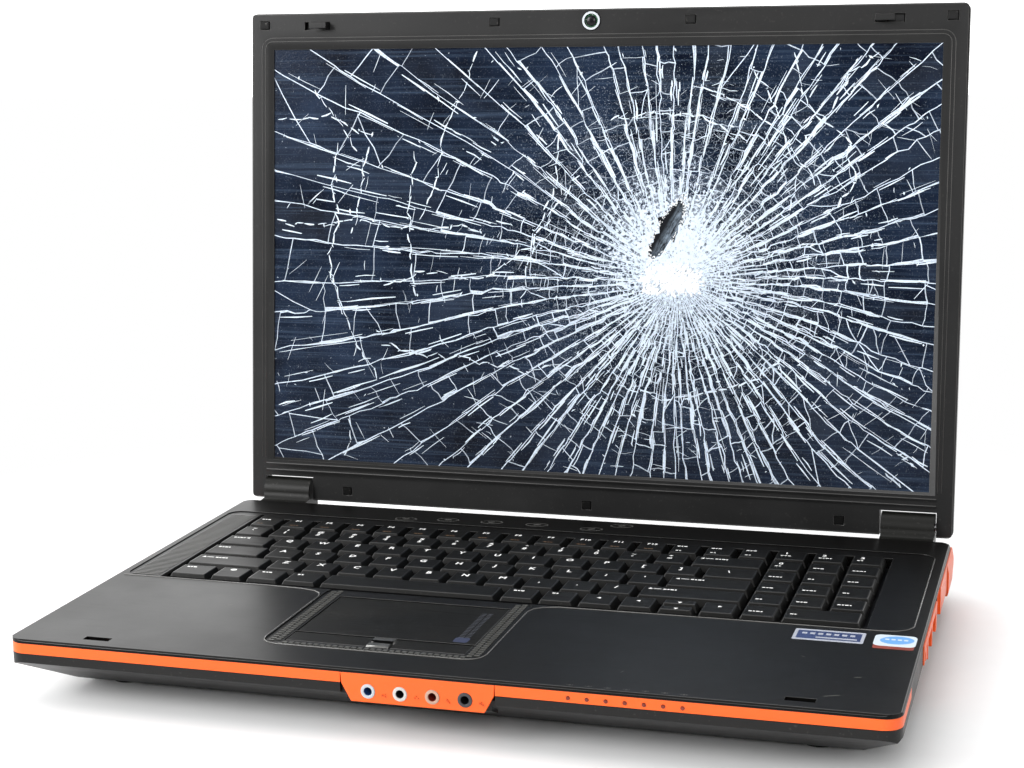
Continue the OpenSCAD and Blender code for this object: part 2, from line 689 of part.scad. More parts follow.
module battery() color([0.08, 0.08, 0.08]) on_base() difference() {
    along_x(battery_a[0], -battery_a[0], [[battery_a[1], foot_h], [base_d - belly_rear, foot_h],
                                          [base_d, rim_z - 6],
                                          [base_d, battery_top], [battery_a[1], battery_top]]);
    // notch with a lip that the latch's hook catches behind
    block([4.6, battery_a[1] + 1.4, floor_z - 0.2], [22, battery_a[1] + 3.8, floor_z + 2.2]);
    block([8.8, battery_a[1] - 1, floor_z - 0.2], [22, battery_a[1] + 1.5, floor_z + 2.2]);
}

module battery_latch() color([0.15, 0.15, 0.15]) on_base() {
    block([-10, latch_y - 3, foot_h + 0.3], [10, latch_y + 3, floor_z + 0.2]);
    block([-12, latch_y - 4.4, floor_z + 0.2], [13, latch_y + 4.4, floor_z + 1.8]);
    // hook
    block([11, latch_y + 4, floor_z + 0.3], [13, battery_a[1] + 3.5, floor_z + 1.8]);
    block([5, battery_a[1] + 1.7, floor_z + 0.3], [13, battery_a[1] + 3.5, floor_z + 1.8]);
    for (i = [-2:2]) block([i * 3 - 0.5, latch_y - 2.6, foot_h], [i * 3 + 0.5, latch_y + 2.6, foot_h + 0.4]);
}

module base_screws() color([0.2, 0.2, 0.2]) on_base() for (p = screw_places)
    translate([p[0], p[1], foot_h + 0.1]) difference() {
    union() {
        cylinder(r = head_r, h = 1.1);
        cylinder(r = screw_r, h = 7);
    }
    // cross recess
    translate([-1.5, -0.35, -1]) cube([3, 0.7, 1.6]);
    translate([-0.35, -1.5, -1]) cube([0.7, 3, 1.6]);
}

// ---- electronics in the base ----

chip_h = 1.5;

module motherboard() color([0.05, 0.3, 0.15]) on_base() {
    block([board_a[0], board_a[1], board_z], [board_b[0], board_b[1], board_z + board_t]);
    // chips, coils and the processor socket
    for (c = [[-48, 110, 22, 22], [-10, 108, 16, 16], [20, 150, 28, 20], [118, 150, 12, 12],
              [140, 112, 18, 10], [-46, 148, 12, 18]])
        translate([c[0], c[1], board_z + board_t - eps]) cube([c[2], c[3], chip_h]);
    block([55, 118, board_z - 2.4], [93, 156, board_z + eps]);
}

sink_z = board_z - 2.4 - fit;
fin_y = fan_y + fan_side / 2 + 0.6;
pipe_x = battery_a[0] * -1 + 7;      // the heat pipe passes between the battery and the fan
pipe_y = 147;

module heat_sink() color([0.75, 0.4, 0.22]) on_base() {
    plate_h = 2.4;
    pipe_r = 2.4;
    pipe_z = sink_z - plate_h - pipe_r + 1;
    fin_x = fan_x - 28;
    block([58, 121, sink_z - plate_h], [90, 153, sink_z]);
    // heat pipe in three runs, and the finned block at the outlet
    translate([60, pipe_y, pipe_z]) rotate([0, 90, 0]) cylinder(r = pipe_r, h = pipe_x - 60);
    translate([pipe_x, pipe_y, pipe_z]) rotate([-90, 0, 0]) cylinder(r = pipe_r, h = fin_y + 5 - pipe_y);
    translate([pipe_x, fin_y + 5, pipe_z]) rotate([0, 90, 0]) cylinder(r = pipe_r, h = fin_x + 10 - pipe_x);
    for (y = [pipe_y, fin_y + 5]) translate([pipe_x, y, pipe_z]) sphere(r = pipe_r);
    for (i = [0:12]) block([fin_x + 4 * i, fin_y, floor_z + 1.6],
                           [fin_x + 1 + 4 * i, fin_y + 9, fan_top - 1]);
    for (z = [floor_z + 1.6, fan_top - 1.6]) block([fin_x, fin_y, z], [fin_x + 49, fin_y + 9, z + 0.6]);
}

module fan_housing() color([0.12, 0.12, 0.12]) on_base() {
    h = fan_side / 2;
    difference() {
        block([fan_x - h, fan_y - h, floor_z], [fan_x + h, fan_y + h, fan_top]);
        translate([fan_x, fan_y, floor_z + 1]) cylinder(r = fan_r, h = fan_top - floor_z - 2);
        translate([fan_x, fan_y, floor_z - 1]) cylinder(r = 19, h = 4);
        block([fan_x - h + 2, fan_y, floor_z + 1], [fan_x + h - 2, fan_y + h + 1, fan_top - 1]);
    }
    // spider that carries the motor post
    block([fan_x - 20, fan_y - 2, floor_z], [fan_x + 20, fan_y + 2, floor_z + 1]);
    translate([fan_x, fan_y, floor_z]) cylinder(r = 1.5, h = 8);
}

module fan_rotor() color([0.2, 0.2, 0.2]) on_base() translate([fan_x, fan_y, floor_z + 1.4]) difference() {
    union() {
        cylinder(r = 10, h = 8.8);
        for (i = [0:12]) rotate([0, 0, 360 / 13 * i]) translate([9, -0.5, 0.6]) cube([fan_r - 11, 1, 7.4]);
    }
    translate([0, 0, -1]) cylinder(r = 1.5 + pin_fit, h = 8.4);
}

module hard_drive() color([0.65, 0.66, 0.68]) on_base() difference() {
    block([62, drive_y, drive_z], [162, drive_y + 69.8, drive_z + 9.5]);
    // stepped lid of the drive
    block([64, drive_y - 1, drive_z + 8.7], [84, drive_y + 71, drive_z + 10]);
    translate([128, drive_y + 35, drive_z + 9]) cylinder(r = 12, h = 2);
}

module memory_modules() color([0.05, 0.35, 0.2]) on_base() for (y = [107.5, 140.5]) {
    x = -38;
    block([x, y, board_z - 4], [x + 67.6, y + 30, board_z - 3]);
    block([x, y, board_z - 5], [x + 67.6, y + 4, board_z - 0.3]);
    for (i = [0:3]) block([x + 5 + 15.5 * i, y + 8, board_z - 5],
                          [x + 17 + 15.5 * i, y + 22, board_z - 4 + eps]);
}

module wireless_card() color([0.05, 0.3, 0.4]) on_base() {
    block([112, 110, board_z - 4], [163, 140, board_z - 3]);
    block([112, 110, board_z - 5], [116, 140, board_z - 0.3]);
    block([122, 114, board_z - 5.2], [156, 136, board_z - 4 + eps]);
}

module optical_drive() color([0.7, 0.7, 0.72]) on_base() difference() {
    x1 = disc_x + disc_len;
    block([disc_x, disc_front, disc_z], [x1, disc_front + disc_w, disc_z + disc_h]);
    // bay of the tray, open at the side of the machine
    block([disc_x - 1, disc_front + 0.8, disc_z + 0.8],
          [x1 - 4, disc_front + disc_w - 0.8, disc_z + disc_h - 0.8]);
}

tray_y0 = disc_front + 1.1;
tray_y1 = disc_front + disc_w - 1.1;

module disc_tray() color([0.15, 0.15, 0.15]) on_base() difference() {
    union() {
        block([disc_x + 0.2, tray_y0, disc_z + 1.1], [disc_x + disc_len - 6, tray_y1, disc_z + 6]);
        block([-body_w / 2 - 0.4, disc_front, disc_z], [disc_x - 0.2, disc_front + disc_w, disc_z + disc_h]);
        block([disc_x - 0.3, tray_y0 + 3, disc_z + 1.1], [disc_x + 0.3, tray_y1 - 3, disc_z + 6]);
    }
    // disc well, spindle and the eject button's hole
    difference() {
        translate([disc_x + 64, (tray_y0 + tray_y1) / 2, disc_z + 4]) cylinder(r = 60.5, h = 5);
        translate([disc_x + 64, (tray_y0 + tray_y1) / 2, disc_z + 3]) cylinder(r = 9, h = 2.6);
    }
    block([-body_w / 2 - 1, eject_y - 4.2, disc_z + 7], [disc_x + 1, eject_y + 4.2, disc_z + 10.4]);
}

eject_y = disc_front + 92;

module eject_button() color([0.2, 0.2, 0.2]) on_base() {
    block([-body_w / 2 - 1, eject_y - 4, disc_z + 7.2], [disc_x - 1.4, eject_y + 4, disc_z + 10.2]);
}

module speakers() color([0.1, 0.1, 0.1]) on_base() for (x = [-144, 36]) {
    difference() {
        block([x - 18, 38, floor_z], [x + 18, 62, floor_z + 11]);
        translate([x, 50, floor_z + 7]) cylinder(r = 9.5, h = 6);
    }
    translate([x, 50, floor_z + 7 - eps]) cylinder(r = 4, h = 2.4);
}

module port_sockets() color([0.7, 0.7, 0.72]) on_base() {
    z = board_z + board_t;
    x1 = body_w / 2 - 0.9;
    for (s = sockets) {
        deep = s[2] > 8 ? 12 : 10;
        difference() {
            block([x1 - 15, s[0], z], [x1, s[0] + s[1], z + s[2]]);
            block([x1 - deep, s[0] + 0.7, z + 0.8], [x1 + 1, s[0] + s[1] - 0.7, z + s[2] - 0.8]);
        }
        // contact tongue of the flat sockets
        if (s[2] < 8) block([x1 - deep - eps, s[0] + 1.6, z + s[2] - 2.7],
                            [x1 - 1, s[0] + s[1] - 1.6, z + s[2] - 1.3]);
    }
}

module power_inlet() color([0.1, 0.1, 0.1]) on_base() {
    y1 = base_d - 0.5;
    difference() {
        union() {
            block([inlet_x - 6, y1 - 20, inlet_z - 6], [inlet_x + 6, base_d - 6, inlet_z + 6]);
            translate([inlet_x, y1, inlet_z]) rotate([90, 0, 0]) cylinder(r = inlet_r - 0.15, h = 7);
        }
        translate([inlet_x, y1 + 1, inlet_z]) rotate([90, 0, 0]) cylinder(r = 2.8, h = 11);
    }
    translate([inlet_x, y1 - 1, inlet_z]) rotate([90, 0, 0]) cylinder(r = 0.9, h = 10);
}

// ---- lid ----

arm_x = body_w / 2 - skin_t - 3.9;
notch_x0 = hinge_x - cap_w / 2 - 1;
notch_x1 = hinge_x + cap_w / 2 + 0.7;
notch_v = hinge_v + cap_nose + easy;
latch_v = base_d + hinge_back + hinge_v - slot_y;    // where the closed hook meets its slot
latch_x = 155.6;
hook_w = 10;
lock_slide = 4;
cam_v = lid_len - 6.5;
cap_v = 5.2;

// The lid's outline in plan, set in by d
module lid_plan(d, z0, z1)
    translate([0, 0, z0])
        linear_extrude(z1 - z0)
            polygon(round_rect([-body_w / 2 + d, d - lid_lip], [body_w / 2 - d, lid_len - d],
                               3.4 - min(d, 1), 4));

module lid_cuts() {
    both_sides() {
        block([notch_x0, -1 - lid_lip, -lid_t - 1], [notch_x1, notch_v, 1]);
        // finger notch over each latch slider
        block([latch_x - 14.6, lid_len - 1, -7], [latch_x + 14.8, lid_len + 1, -2]);
    }
}

// Room for a hinge pin between its arm and the notch
module pin_passage()
    translate([notch_x1 - 1, hinge_v, -hinge_in]) rotate([0, 90, 0]) cylinder(r = pin_r + 0.4,
                                                                              h = arm_x + 1.8 - notch_x1 + 1);

module lid_back() color([0.07, 0.07, 0.07]) on_lid() difference() {
    intersection() {
        lid_plan(0, -lid_t, -frame_t);
        mirror([0, 0, 1])
            frustum([-body_w / 2 - 4, -4 - lid_lip], [body_w / 2 + 4, lid_len + 4], frame_t - 1, lid_t,
                    [4 + lid_edge, 4 + lid_edge, 4 + lid_edge, 4 + lid_edge]);
    }
    difference() {
        lid_plan(skin_t + 0.2, -lid_t + skin_t, 1);
        // walls round the hinge notches
        both_sides() difference() {
            block([notch_x0 - 1.6, -1 - lid_lip, -lid_t], [notch_x1 + 1.6, notch_v + 1.4, -frame_t]);
            block([arm_x - 0.4, 0, -lid_t + skin_t], [body_w, notch_v + 2, 0]);
        }
        // ribs that the panel and the latch sliders lie against
        both_sides() block([60, panel_v1 + 0.3, -lid_t], [120, panel_v1 + 1.8, -frame_t - 0.1]);
        block([-50, panel_v0 - 2, -lid_t], [50, panel_v0 - 0.3, -frame_t - 1.4]);
    }
    lid_cuts();
    both_sides() pin_passage();
    // windows over the latch knobs
    both_sides() block([latch_x - 5, lid_len - 5, -6.9], [latch_x + 5 + lock_slide, lid_len + 1, -2.2]);
}

screen_v0 = frame_foot;
screen_v1 = frame_foot + screen_h;
panel_v0 = screen_v0 - 6;
panel_v1 = screen_v1 + 6;

module screen_frame() color([0.1, 0.1, 0.1]) on_lid() difference() {
    union() {
        lid_plan(0, -frame_t, 0);
        // ledges under the screen, like two steps
        for (v = [13.6, 17.2]) along_x(-body_w / 2 + 9, body_w / 2 - 9,
                                       [[v, -eps], [v + 2.4, -eps], [v + 2, 0.5], [v + 1.2, 0.5]]);
    }
    // window with a sloped edge
    block([-screen_w / 2, screen_v0, -lid_t], [screen_w / 2, screen_v1, 1]);
    mirror([0, 0, 1])
        frustum([-screen_w / 2 - 3.4, screen_v0 - 1.3], [screen_w / 2 + 3.4, screen_v1 + 3.8], -eps,
                frame_t - 0.7, [3.4, 3.4, 1.3, 3.8]);
    // softened outer edge
    difference() {
        lid_plan(-1, -0.7, 2);
        frustum([-body_w / 2, -lid_lip], [body_w / 2, lid_len], -0.7, 0, [0.7, 0.7, 0.7, 0.7]);
        block([-body_w / 2 + 8, 10, -1], [body_w / 2 - 8, 24, 1]);
    }
    lid_cuts();
    both_sides() pin_passage();
    translate([0, cam_v, -lid_t]) cylinder(r = 5.3, h = 20);
    both_sides() {
        // latch window
        block([latch_x - hook_w / 2 - 0.6, latch_v - 2.2, -lid_t],
              [latch_x + hook_w / 2 + lock_slide + 0.6, latch_v + 2.2, 1]);
        for (x = bumper_xs) block([x - 2.9, cam_v - 2.4, -0.8], [x + 2.9, cam_v + 2.4, 1]);
    }
    for (x = cap_xs) block([x - 2.7, cap_v - 2.4, -1.2], [x + 2.7, cap_v + 2.4, 1]);
}

bumper_xs = [189.2, 54.1];
cap_xs = [-138.7, 1.5, 138.7];

module lid_bumpers() color([0.03, 0.03, 0.03]) on_lid() both_sides() for (x = bumper_xs)
    frustum([x - 2.8, cam_v - 2.3], [x + 2.8, cam_v + 2.3], -0.75, cover_gap - 0.3, [0.4, 0.4, 0.4, 0.4]);

module frame_screw_caps() color([0.03, 0.03, 0.03]) on_lid() for (x = cap_xs)
    frustum([x - 2.6, cap_v - 2.3], [x + 2.6, cap_v + 2.3], -1.15, 0.4, [0.3, 0.3, 0.3, 0.3]);

module display_panel() color([0.12, 0.16, 0.22]) on_lid() {
    w = arm_x - 0.5;
    z0 = -lid_t + skin_t + 0.2;
    z1 = -frame_t - glass_t - 0.1;
    block([-w, panel_v0, z0], [w, panel_v1, z1]);
    // folded metal edge of the backlight
    difference() {
        block([-w, panel_v0, z1 - eps], [w, panel_v1, -frame_t - 0.2]);
        block([-w + 1, panel_v0 + 1, z0], [w - 1, panel_v1 - 1, 0]);
    }
}

// The glass is broken into shards between radial cracks and rings round the impact.
crack = 0.12;                      // half the width of a crack
hole_r = 5;                        // glass knocked out at the impact
glass_a = [-arm_x + 1.8, panel_v0 + 1.3];
glass_b = [arm_x - 1.8, panel_v1 - 1.3];
impact = [impact_x, screen_v0 + impact_v];
rays = 30;
rings = [0, 0.1, 0.24, 0.46, 0.72, 1];
ray_jog = rands(-3.4, 3.4, rays, 11);
ring_jog = rands(-0.045, 0.045, rays * 6, 12);
corner_angles = [for (c = [[glass_b[0], glass_b[1]], [glass_a[0], glass_b[1]], [glass_a[0], glass_a[1]],
                           [glass_b[0], glass_a[1]]])
                 (atan2(c[1] - impact[1], c[0] - impact[0]) + 360) % 360];
// A ray that lies near a corner of the glass runs right into it
function near_corner(a) = [for (c = corner_angles) if (abs(c - a) <= 6) c];
ray_angles = [for (i = [0:rays - 1]) let (a = 12 * i, c = near_corner(a)) len(c) > 0 ? c[0] : a + ray_jog[i]];
// Distance from the impact to the edge of the glass
function reach(a) = min(
    cos(a) > 0 ? (glass_b[0] - impact[0]) / max(cos(a), 1e-6) : (glass_a[0] - impact[0]) / min(cos(a), -1e-6),
    sin(a) > 0 ? (glass_b[1] - impact[1]) / max(sin(a), 1e-6) : (glass_a[1] - impact[1]) / min(sin(a),
                                                                                               -1e-6));
function crack_point(i, j) = let (
    a = ray_angles[i % rays],
    f = (j == 0 || j == 5) ? rings[j] : rings[j] + ring_jog[(i % rays) * 6 + j] * rings[j] * 2,
    r = hole_r + (reach(a) - hole_r) * f
) impact + r * [cos(a), sin(a)];
// Moves each side of a counter-clockwise polygon in by d
function unit(v) = v / norm(v);
function inset_corner(p, q, s, d) = let (u = unit(q - p), v = unit(s - q), k = u[0] * v[1] - u[1] * v[0])
    abs(k) < 0.02 ? q + d * [-u[1], u[0]] : q + d / k * (v - u);
function inset(poly, d) = [for (i = [0:len(poly) - 1])
    inset_corner(poly[(i + len(poly) - 1) % len(poly)], poly[i], poly[(i + 1) % len(poly)], d)];

module cracked_glass() color([0.08, 0.12, 0.2]) on_lid() translate([0, 0, -frame_t - 0.05 - glass_t])
    for (i = [0:rays - 1])
        for (j = [0:4])
            linear_extrude(glass_t)
                polygon(inset([crack_point(i, j), crack_point(i, j + 1), crack_point(i + 1, j + 1),
                               crack_point(i + 1, j)], crack));

module webcam_ring() color([0.8, 0.8, 0.82]) on_lid() translate([0, cam_v, -frame_t]) difference() {
    cylinder(r = 5.2, h = frame_t + 0.5);
    translate([0, 0, -1]) cylinder(r = 3.6, h = 10);
}

module webcam_board() color([0.05, 0.3, 0.15]) on_lid() {
    block([-24, cam_v - 4.6, -frame_t - 1.7], [24, cam_v + 3.6, -frame_t - 0.5]);
    translate([0, cam_v, -frame_t - 0.6]) difference() {
        cylinder(r = 3.4, h = frame_t + 0.3);
        translate([0, 0, frame_t - 0.2]) cylinder(r = 2, h = 2);
    }
}

module inverter_board() color([0.05, 0.3, 0.15]) on_lid() {
    z0 = -lid_t + skin_t + 0.3;
    block([-58, 3, z0], [58, 12.4, z0 + 1.2]);
    for (x = [-44, -12, 26]) block([x, 4.5, z0 + 1.2 - eps], [x + 16, 11, z0 + 3.6]);
}

module display_cable() color([0.2, 0.2, 0.2]) on_lid() {
    z0 = -lid_t + skin_t + 0.3;
    block([-notch_x0 + 3, 4, z0], [-58.4, 9, z0 + 0.8]);
    block([-76, 4, z0], [-66, 12.4, z0 + 1.6]);
}

// A slider with a finger knob in the top edge and a hook that drops into the deck
module lid_latch(side) color([0.6, 0.6, 0.62]) on_lid() mirror([side < 0 ? 1 : 0, 0, 0]) {
    z1 = -frame_t - 0.2;
    nose = cover_gap + deck_t + 0.4;
    block([latch_x - 7, latch_v - 2.4, -6.4], [latch_x + 9, lid_len - 2.4, z1]);
    block([latch_x - 4, lid_len - 2.6, -6.4], [latch_x + 4, lid_len - 0.3, -3]);
    block([latch_x - hook_w / 2, latch_v - 1.6, z1 - 1], [latch_x + 0.4, latch_v + 1.6, nose + 1.6]);
    block([latch_x - hook_w / 2, latch_v - 1.6, nose], [latch_x + hook_w / 2, latch_v + 1.6, nose + 1.6]);
}

module left_lid_latch() lid_latch(-1);
module right_lid_latch() lid_latch(1);

bottom_case();
top_case();
front_band();
jack_panel();
audio_jacks();
right_side_trim();
left_side_trim();
hinge_caps();
hinge_barrels();
keyboard_plate();
touchpad();
button_divider();
status_lights();
feet();
battery();
service_cover();
drive_cover();
base_screws();
motherboard();
heat_sink();
fan_housing();
hard_drive();
memory_modules();
wireless_card();
optical_drive();
speakers();
port_sockets();
power_inlet();
function_keys();
number_keys();
upper_letter_keys();
home_letter_keys();
lower_letter_keys();
bottom_keys();
number_pad_keys();
left_touch_button();
right_touch_button();
space_bar();
enter_key();
backspace_key();
left_shift_key();
right_shift_key();
battery_latch();
fan_rotor();
disc_tray();
eject_button();
lid_back();
screen_frame();
display_panel();
cracked_glass();
webcam_ring();
webcam_board();
lid_bumpers();
frame_screw_caps();
hinge_arms();
inverter_board();
display_cable();
left_lid_latch();
right_lid_latch();
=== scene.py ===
import json
import math
import random

import bmesh
import bpy
from mathutils import Matrix, Vector, noise

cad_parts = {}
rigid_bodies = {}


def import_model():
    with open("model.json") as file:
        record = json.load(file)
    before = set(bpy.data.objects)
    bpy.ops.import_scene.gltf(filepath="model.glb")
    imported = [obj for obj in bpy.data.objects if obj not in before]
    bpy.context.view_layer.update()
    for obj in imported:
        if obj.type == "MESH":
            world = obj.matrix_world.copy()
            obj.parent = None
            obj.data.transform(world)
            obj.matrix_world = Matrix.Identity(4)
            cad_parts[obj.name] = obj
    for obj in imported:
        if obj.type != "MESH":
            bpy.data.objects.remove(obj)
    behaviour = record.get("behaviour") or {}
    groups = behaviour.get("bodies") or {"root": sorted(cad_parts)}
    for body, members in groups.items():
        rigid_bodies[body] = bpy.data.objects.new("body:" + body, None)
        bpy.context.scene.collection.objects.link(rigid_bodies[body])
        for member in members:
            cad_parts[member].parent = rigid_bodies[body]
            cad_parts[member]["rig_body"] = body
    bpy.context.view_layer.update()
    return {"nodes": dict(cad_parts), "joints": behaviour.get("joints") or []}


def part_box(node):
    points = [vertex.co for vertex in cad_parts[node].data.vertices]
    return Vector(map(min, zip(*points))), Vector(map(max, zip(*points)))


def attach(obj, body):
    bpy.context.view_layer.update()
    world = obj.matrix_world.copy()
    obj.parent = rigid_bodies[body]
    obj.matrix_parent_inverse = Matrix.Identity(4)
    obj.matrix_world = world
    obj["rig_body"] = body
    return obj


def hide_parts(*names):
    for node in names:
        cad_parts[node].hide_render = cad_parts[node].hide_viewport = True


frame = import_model()
nodes = frame["nodes"]

# The bottom shell: one charcoal ABS moulding with a spark-eroded grain that carries everything
# else. Every plastic part has the same kind of grain, and the soft edges that a mould leaves;
# on many parts these edges are painted lighter, a painted highlight where they catch the light.
MM = 0.001
CHARCOAL = (0.0052, 0.0050, 0.0048, 1)


def node_maker(tree):
    """A function that adds a node to a tree. i0, i1 and so on are inputs by number, and other
    words are inputs or settings by name."""
    def add(kind, **put):
        node = tree.nodes.new("ShaderNode" + kind)
        for key, value in put.items():
            if key.startswith("i") and key[1:].isdigit():
                target = node.inputs[int(key[1:])]
            elif key.replace("_", " ") in node.inputs:
                target = node.inputs[key.replace("_", " ")]
            else:
                setattr(node, key, value)
                continue
            if isinstance(value, bpy.types.NodeSocket):
                tree.links.new(value, target)
            else:
                target.default_value = value
        return node

    return add


def finish(name):
    """A new material, its shader, and two functions: one adds a node, one feeds the shader."""
    material = bpy.data.materials.new(name)
    material.use_nodes = True
    shader = material.node_tree.nodes["Principled BSDF"]

    def feed(target, socket):
        material.node_tree.links.new(socket, shader.inputs[target])

    return material, shader, node_maker(material.node_tree), feed


def blended(add, share, first, second):
    """Colour that goes from the first to the second as the share goes from 0 to 1."""
    return add("Mix", data_type="RGBA", i0=share, i6=first, i7=second).outputs[2]


def ramp(add, value, low, high, to_low=0.0, to_high=1.0):
    """A value stretched from one range to another and held inside it."""
    return add("MapRange", Value=value, From_Min=low, From_Max=high, To_Min=to_low,
               To_Max=to_high).outputs[0]


def product(add, first, second):
    return add("Math", operation="MULTIPLY", i0=first, i1=second).outputs[0]


def times(colour, factor):
    return tuple(min(1.0, c * factor) for c in colour[:3]) + (1,)


def moulded(name, colour, gloss=0.42, specular=0.3, grain=0.10, grain_size=1500.0, rubbed=1.5,
            dust=0.05, scuff=1.2):
    """Moulded plastic: spark grain, patches rubbed smoother, fine scuffs and grey dust."""
    material, shader, add, feed = finish(name)
    place = add("TexCoord").outputs["Object"]
    patches = add("TexNoise", Vector=place, Scale=22.0, Detail=4.0, Roughness=0.55)
    fine = add("TexNoise", Vector=place, Scale=grain_size, Detail=2.0)
    scuffed = add("Mapping", Vector=place, Rotation=(0.3, 0.2, 0.6), Scale=(40, 420, 200))
    scuffs = add("TexNoise", Vector=scuffed.outputs[0], Scale=1.0, Detail=3.0)
    specks = add("TexNoise", Vector=place, Scale=650.0, Detail=1.0)
    worn = blended(add, ramp(add, patches.outputs[0], 0.42, 0.72), colour, times(colour, rubbed))
    feed("Base Color", blended(add, ramp(add, specks.outputs[0], 0.66, 0.78, 0.0, dust), worn,
                               (0.42, 0.40, 0.37, 1)))
    feed("Roughness", product(add, ramp(add, patches.outputs[0], 0.3, 0.7, 0.9, 1.12),
                              ramp(add, scuffs.outputs[0], 0.55, 0.75, gloss, gloss * scuff)))
    feed("Normal", add("Bump", Strength=grain, Distance=0.0002,
                       Height=fine.outputs[0]).outputs[0])
    shader.inputs["Specular IOR Level"].default_value = specular
    return material


def dress(name, material):
    """Gives a CAD part its finish."""
    nodes[name].data.materials.clear()
    nodes[name].data.materials.append(material)
    for face in nodes[name].data.polygons:
        face.material_index = 0


def placed(name, mesh, materials, body):
    """A finished piece from its mesh, riding on its body."""
    data = bpy.data.meshes.new(name)
    mesh.to_mesh(data)
    mesh.free()
    for material in materials:
        data.materials.append(material)
    piece = bpy.data.objects.new(name, data)
    bpy.context.scene.collection.objects.link(piece)
    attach(piece, body)
    return piece


def merged(name, flats=True):
    """A copy of a CAD part's mesh with its loose triangles joined, and its flats in one piece."""
    mesh = bmesh.new()
    mesh.from_mesh(nodes[name].data)
    bmesh.ops.remove_doubles(mesh, verts=mesh.verts, dist=0.00001)
    if flats:
        bmesh.ops.dissolve_limit(mesh, angle_limit=math.radians(0.6), verts=mesh.verts,
                                 edges=mesh.edges)
    return mesh


def soft_edged(name, radius, material, rubbed=None, shape=None, shortest=1.6, segments=2):
    """A copy of a CAD part with its long sharp edges rounded, which stands for the part. The
    rounding takes the second finish, rubbed, if there is one: a lighter colour that is a painted
    highlight. shape changes the mesh first."""
    mesh = merged(name)
    if shape:
        shape(mesh)
    sharp = [e for e in mesh.edges if len(e.link_faces) == 2 and e.is_convex
             and e.calc_length() > shortest * MM and e.calc_face_angle(0) > math.radians(32)]
    bmesh.ops.bevel(mesh, geom=sharp, offset=radius * MM, segments=segments, profile=0.5,
                    affect="EDGES", clamp_overlap=True, material=1 if rubbed else -1)
    for face in mesh.faces:
        face.smooth = True
    piece = placed(name + "_shown", mesh, [material] + ([rubbed] if rubbed else []),
                   nodes[name]["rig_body"])
    piece.data.set_sharp_from_angle(angle=math.radians(50))
    even = piece.modifiers.new("even shading", "WEIGHTED_NORMAL")
    even.weight = 80
    even.keep_sharp = True
    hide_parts(name)
    return piece


case_grain = moulded("charcoal case grain", CHARCOAL)
# The rounded edges of the case parts are painted 2.2 times lighter: a painted highlight.
case_edge_highlight = moulded("charcoal rubbed at the edge", times(CHARCOAL, 2.2), gloss=0.34)
for name in ("bottom_case", "service_cover", "drive_cover", "battery"):
    soft_edged(name, 0.35, case_grain, case_edge_highlight)
for name in ("battery_latch", "power_inlet", "speakers", "display_cable", "fan_rotor",
             "fan_housing"):
    dress(name, case_grain)

# Four rubber discs stand under the shell and four rubber stops meet the deck when the lid is
# shut. The rubber is dull and holds grey dust.
rubber = moulded("black rubber", (0.013, 0.013, 0.013, 1), gloss=0.75, specular=0.18, grain=0.2,
                 grain_size=900.0, dust=0.16)
for name in ("feet", "lid_bumpers"):
    soft_edged(name, 0.4, rubber)


# Metal parts are steel, copper and aluminium as they leave the press: the brushing or rolling
# shows as fine lines, with duller patches. The screws are zinc plated and blackened.
def metal(name, colour, gloss, brushed=(60, 60, 2400), tarnish=0.75):
    material, shader, add, feed = finish(name)
    place = add("TexCoord").outputs["Object"]
    lines = add("TexNoise", Scale=1.0, Detail=4.0,
                Vector=add("Mapping", Vector=place, Scale=brushed).outputs[0])
    patches = add("TexNoise", Vector=place, Scale=70.0, Detail=4.0)
    feed("Base Color", blended(add, ramp(add, patches.outputs[0], 0.35, 0.7), colour,
                               times(colour, tarnish)))
    feed("Roughness", ramp(add, lines.outputs[0], 0.3, 0.7, gloss * 0.75, gloss * 1.3))
    feed("Normal", add("Bump", Strength=0.08, Distance=0.0002,
                       Height=lines.outputs[0]).outputs[0])
    shader.inputs["Metallic"].default_value = 1.0
    return material


steel = metal("rolled steel", (0.42, 0.42, 0.43, 1), 0.34)
dark_steel = metal("black zinc steel", (0.035, 0.035, 0.038, 1), 0.42)
copper = metal("copper", (0.62, 0.30, 0.17, 1), 0.3, tarnish=0.6)
aluminium = metal("cast aluminium", (0.56, 0.57, 0.58, 1), 0.42, brushed=(700, 700, 700))
dress("base_screws", dark_steel)
for name in ("hinge_barrels", "hinge_arms", "optical_drive"):
    dress(name, steel)
dress("heat_sink", copper)
dress("hard_drive", aluminium)


# Inside are green glass-fibre boards with tinned tracks under a gloss lacquer, held by posts of
# the shell. They show only through the vents.
def circuit(name, colour):
    material, shader, add, feed = finish(name)
    place = add("TexCoord").outputs["Object"]
    tracks = add("TexBrick", Vector=place, Scale=420.0, Mortar_Size=0.02, offset=0.3,
                 Color1=colour, Color2=times(colour, 1.5), Mortar=times(colour, 0.5))
    pads = add("TexVoronoi", Vector=place, Scale=380.0)
    feed("Base Color", blended(add, ramp(add, pads.outputs[0], 0.16, 0.12), tracks.outputs[0],
                               (0.55, 0.56, 0.52, 1)))
    feed("Roughness", ramp(add, pads.outputs[0], 0.1, 0.3, 0.5, 0.3))
    feed("Normal", add("Bump", Strength=0.15, Distance=0.0002,
                       Height=tracks.outputs["Fac"]).outputs[0])
    return material


green_board = circuit("green circuit board", (0.010, 0.075, 0.028, 1))
for name in ("motherboard", "memory_modules", "wireless_card", "inverter_board", "webcam_board"):
    dress(name, green_board)
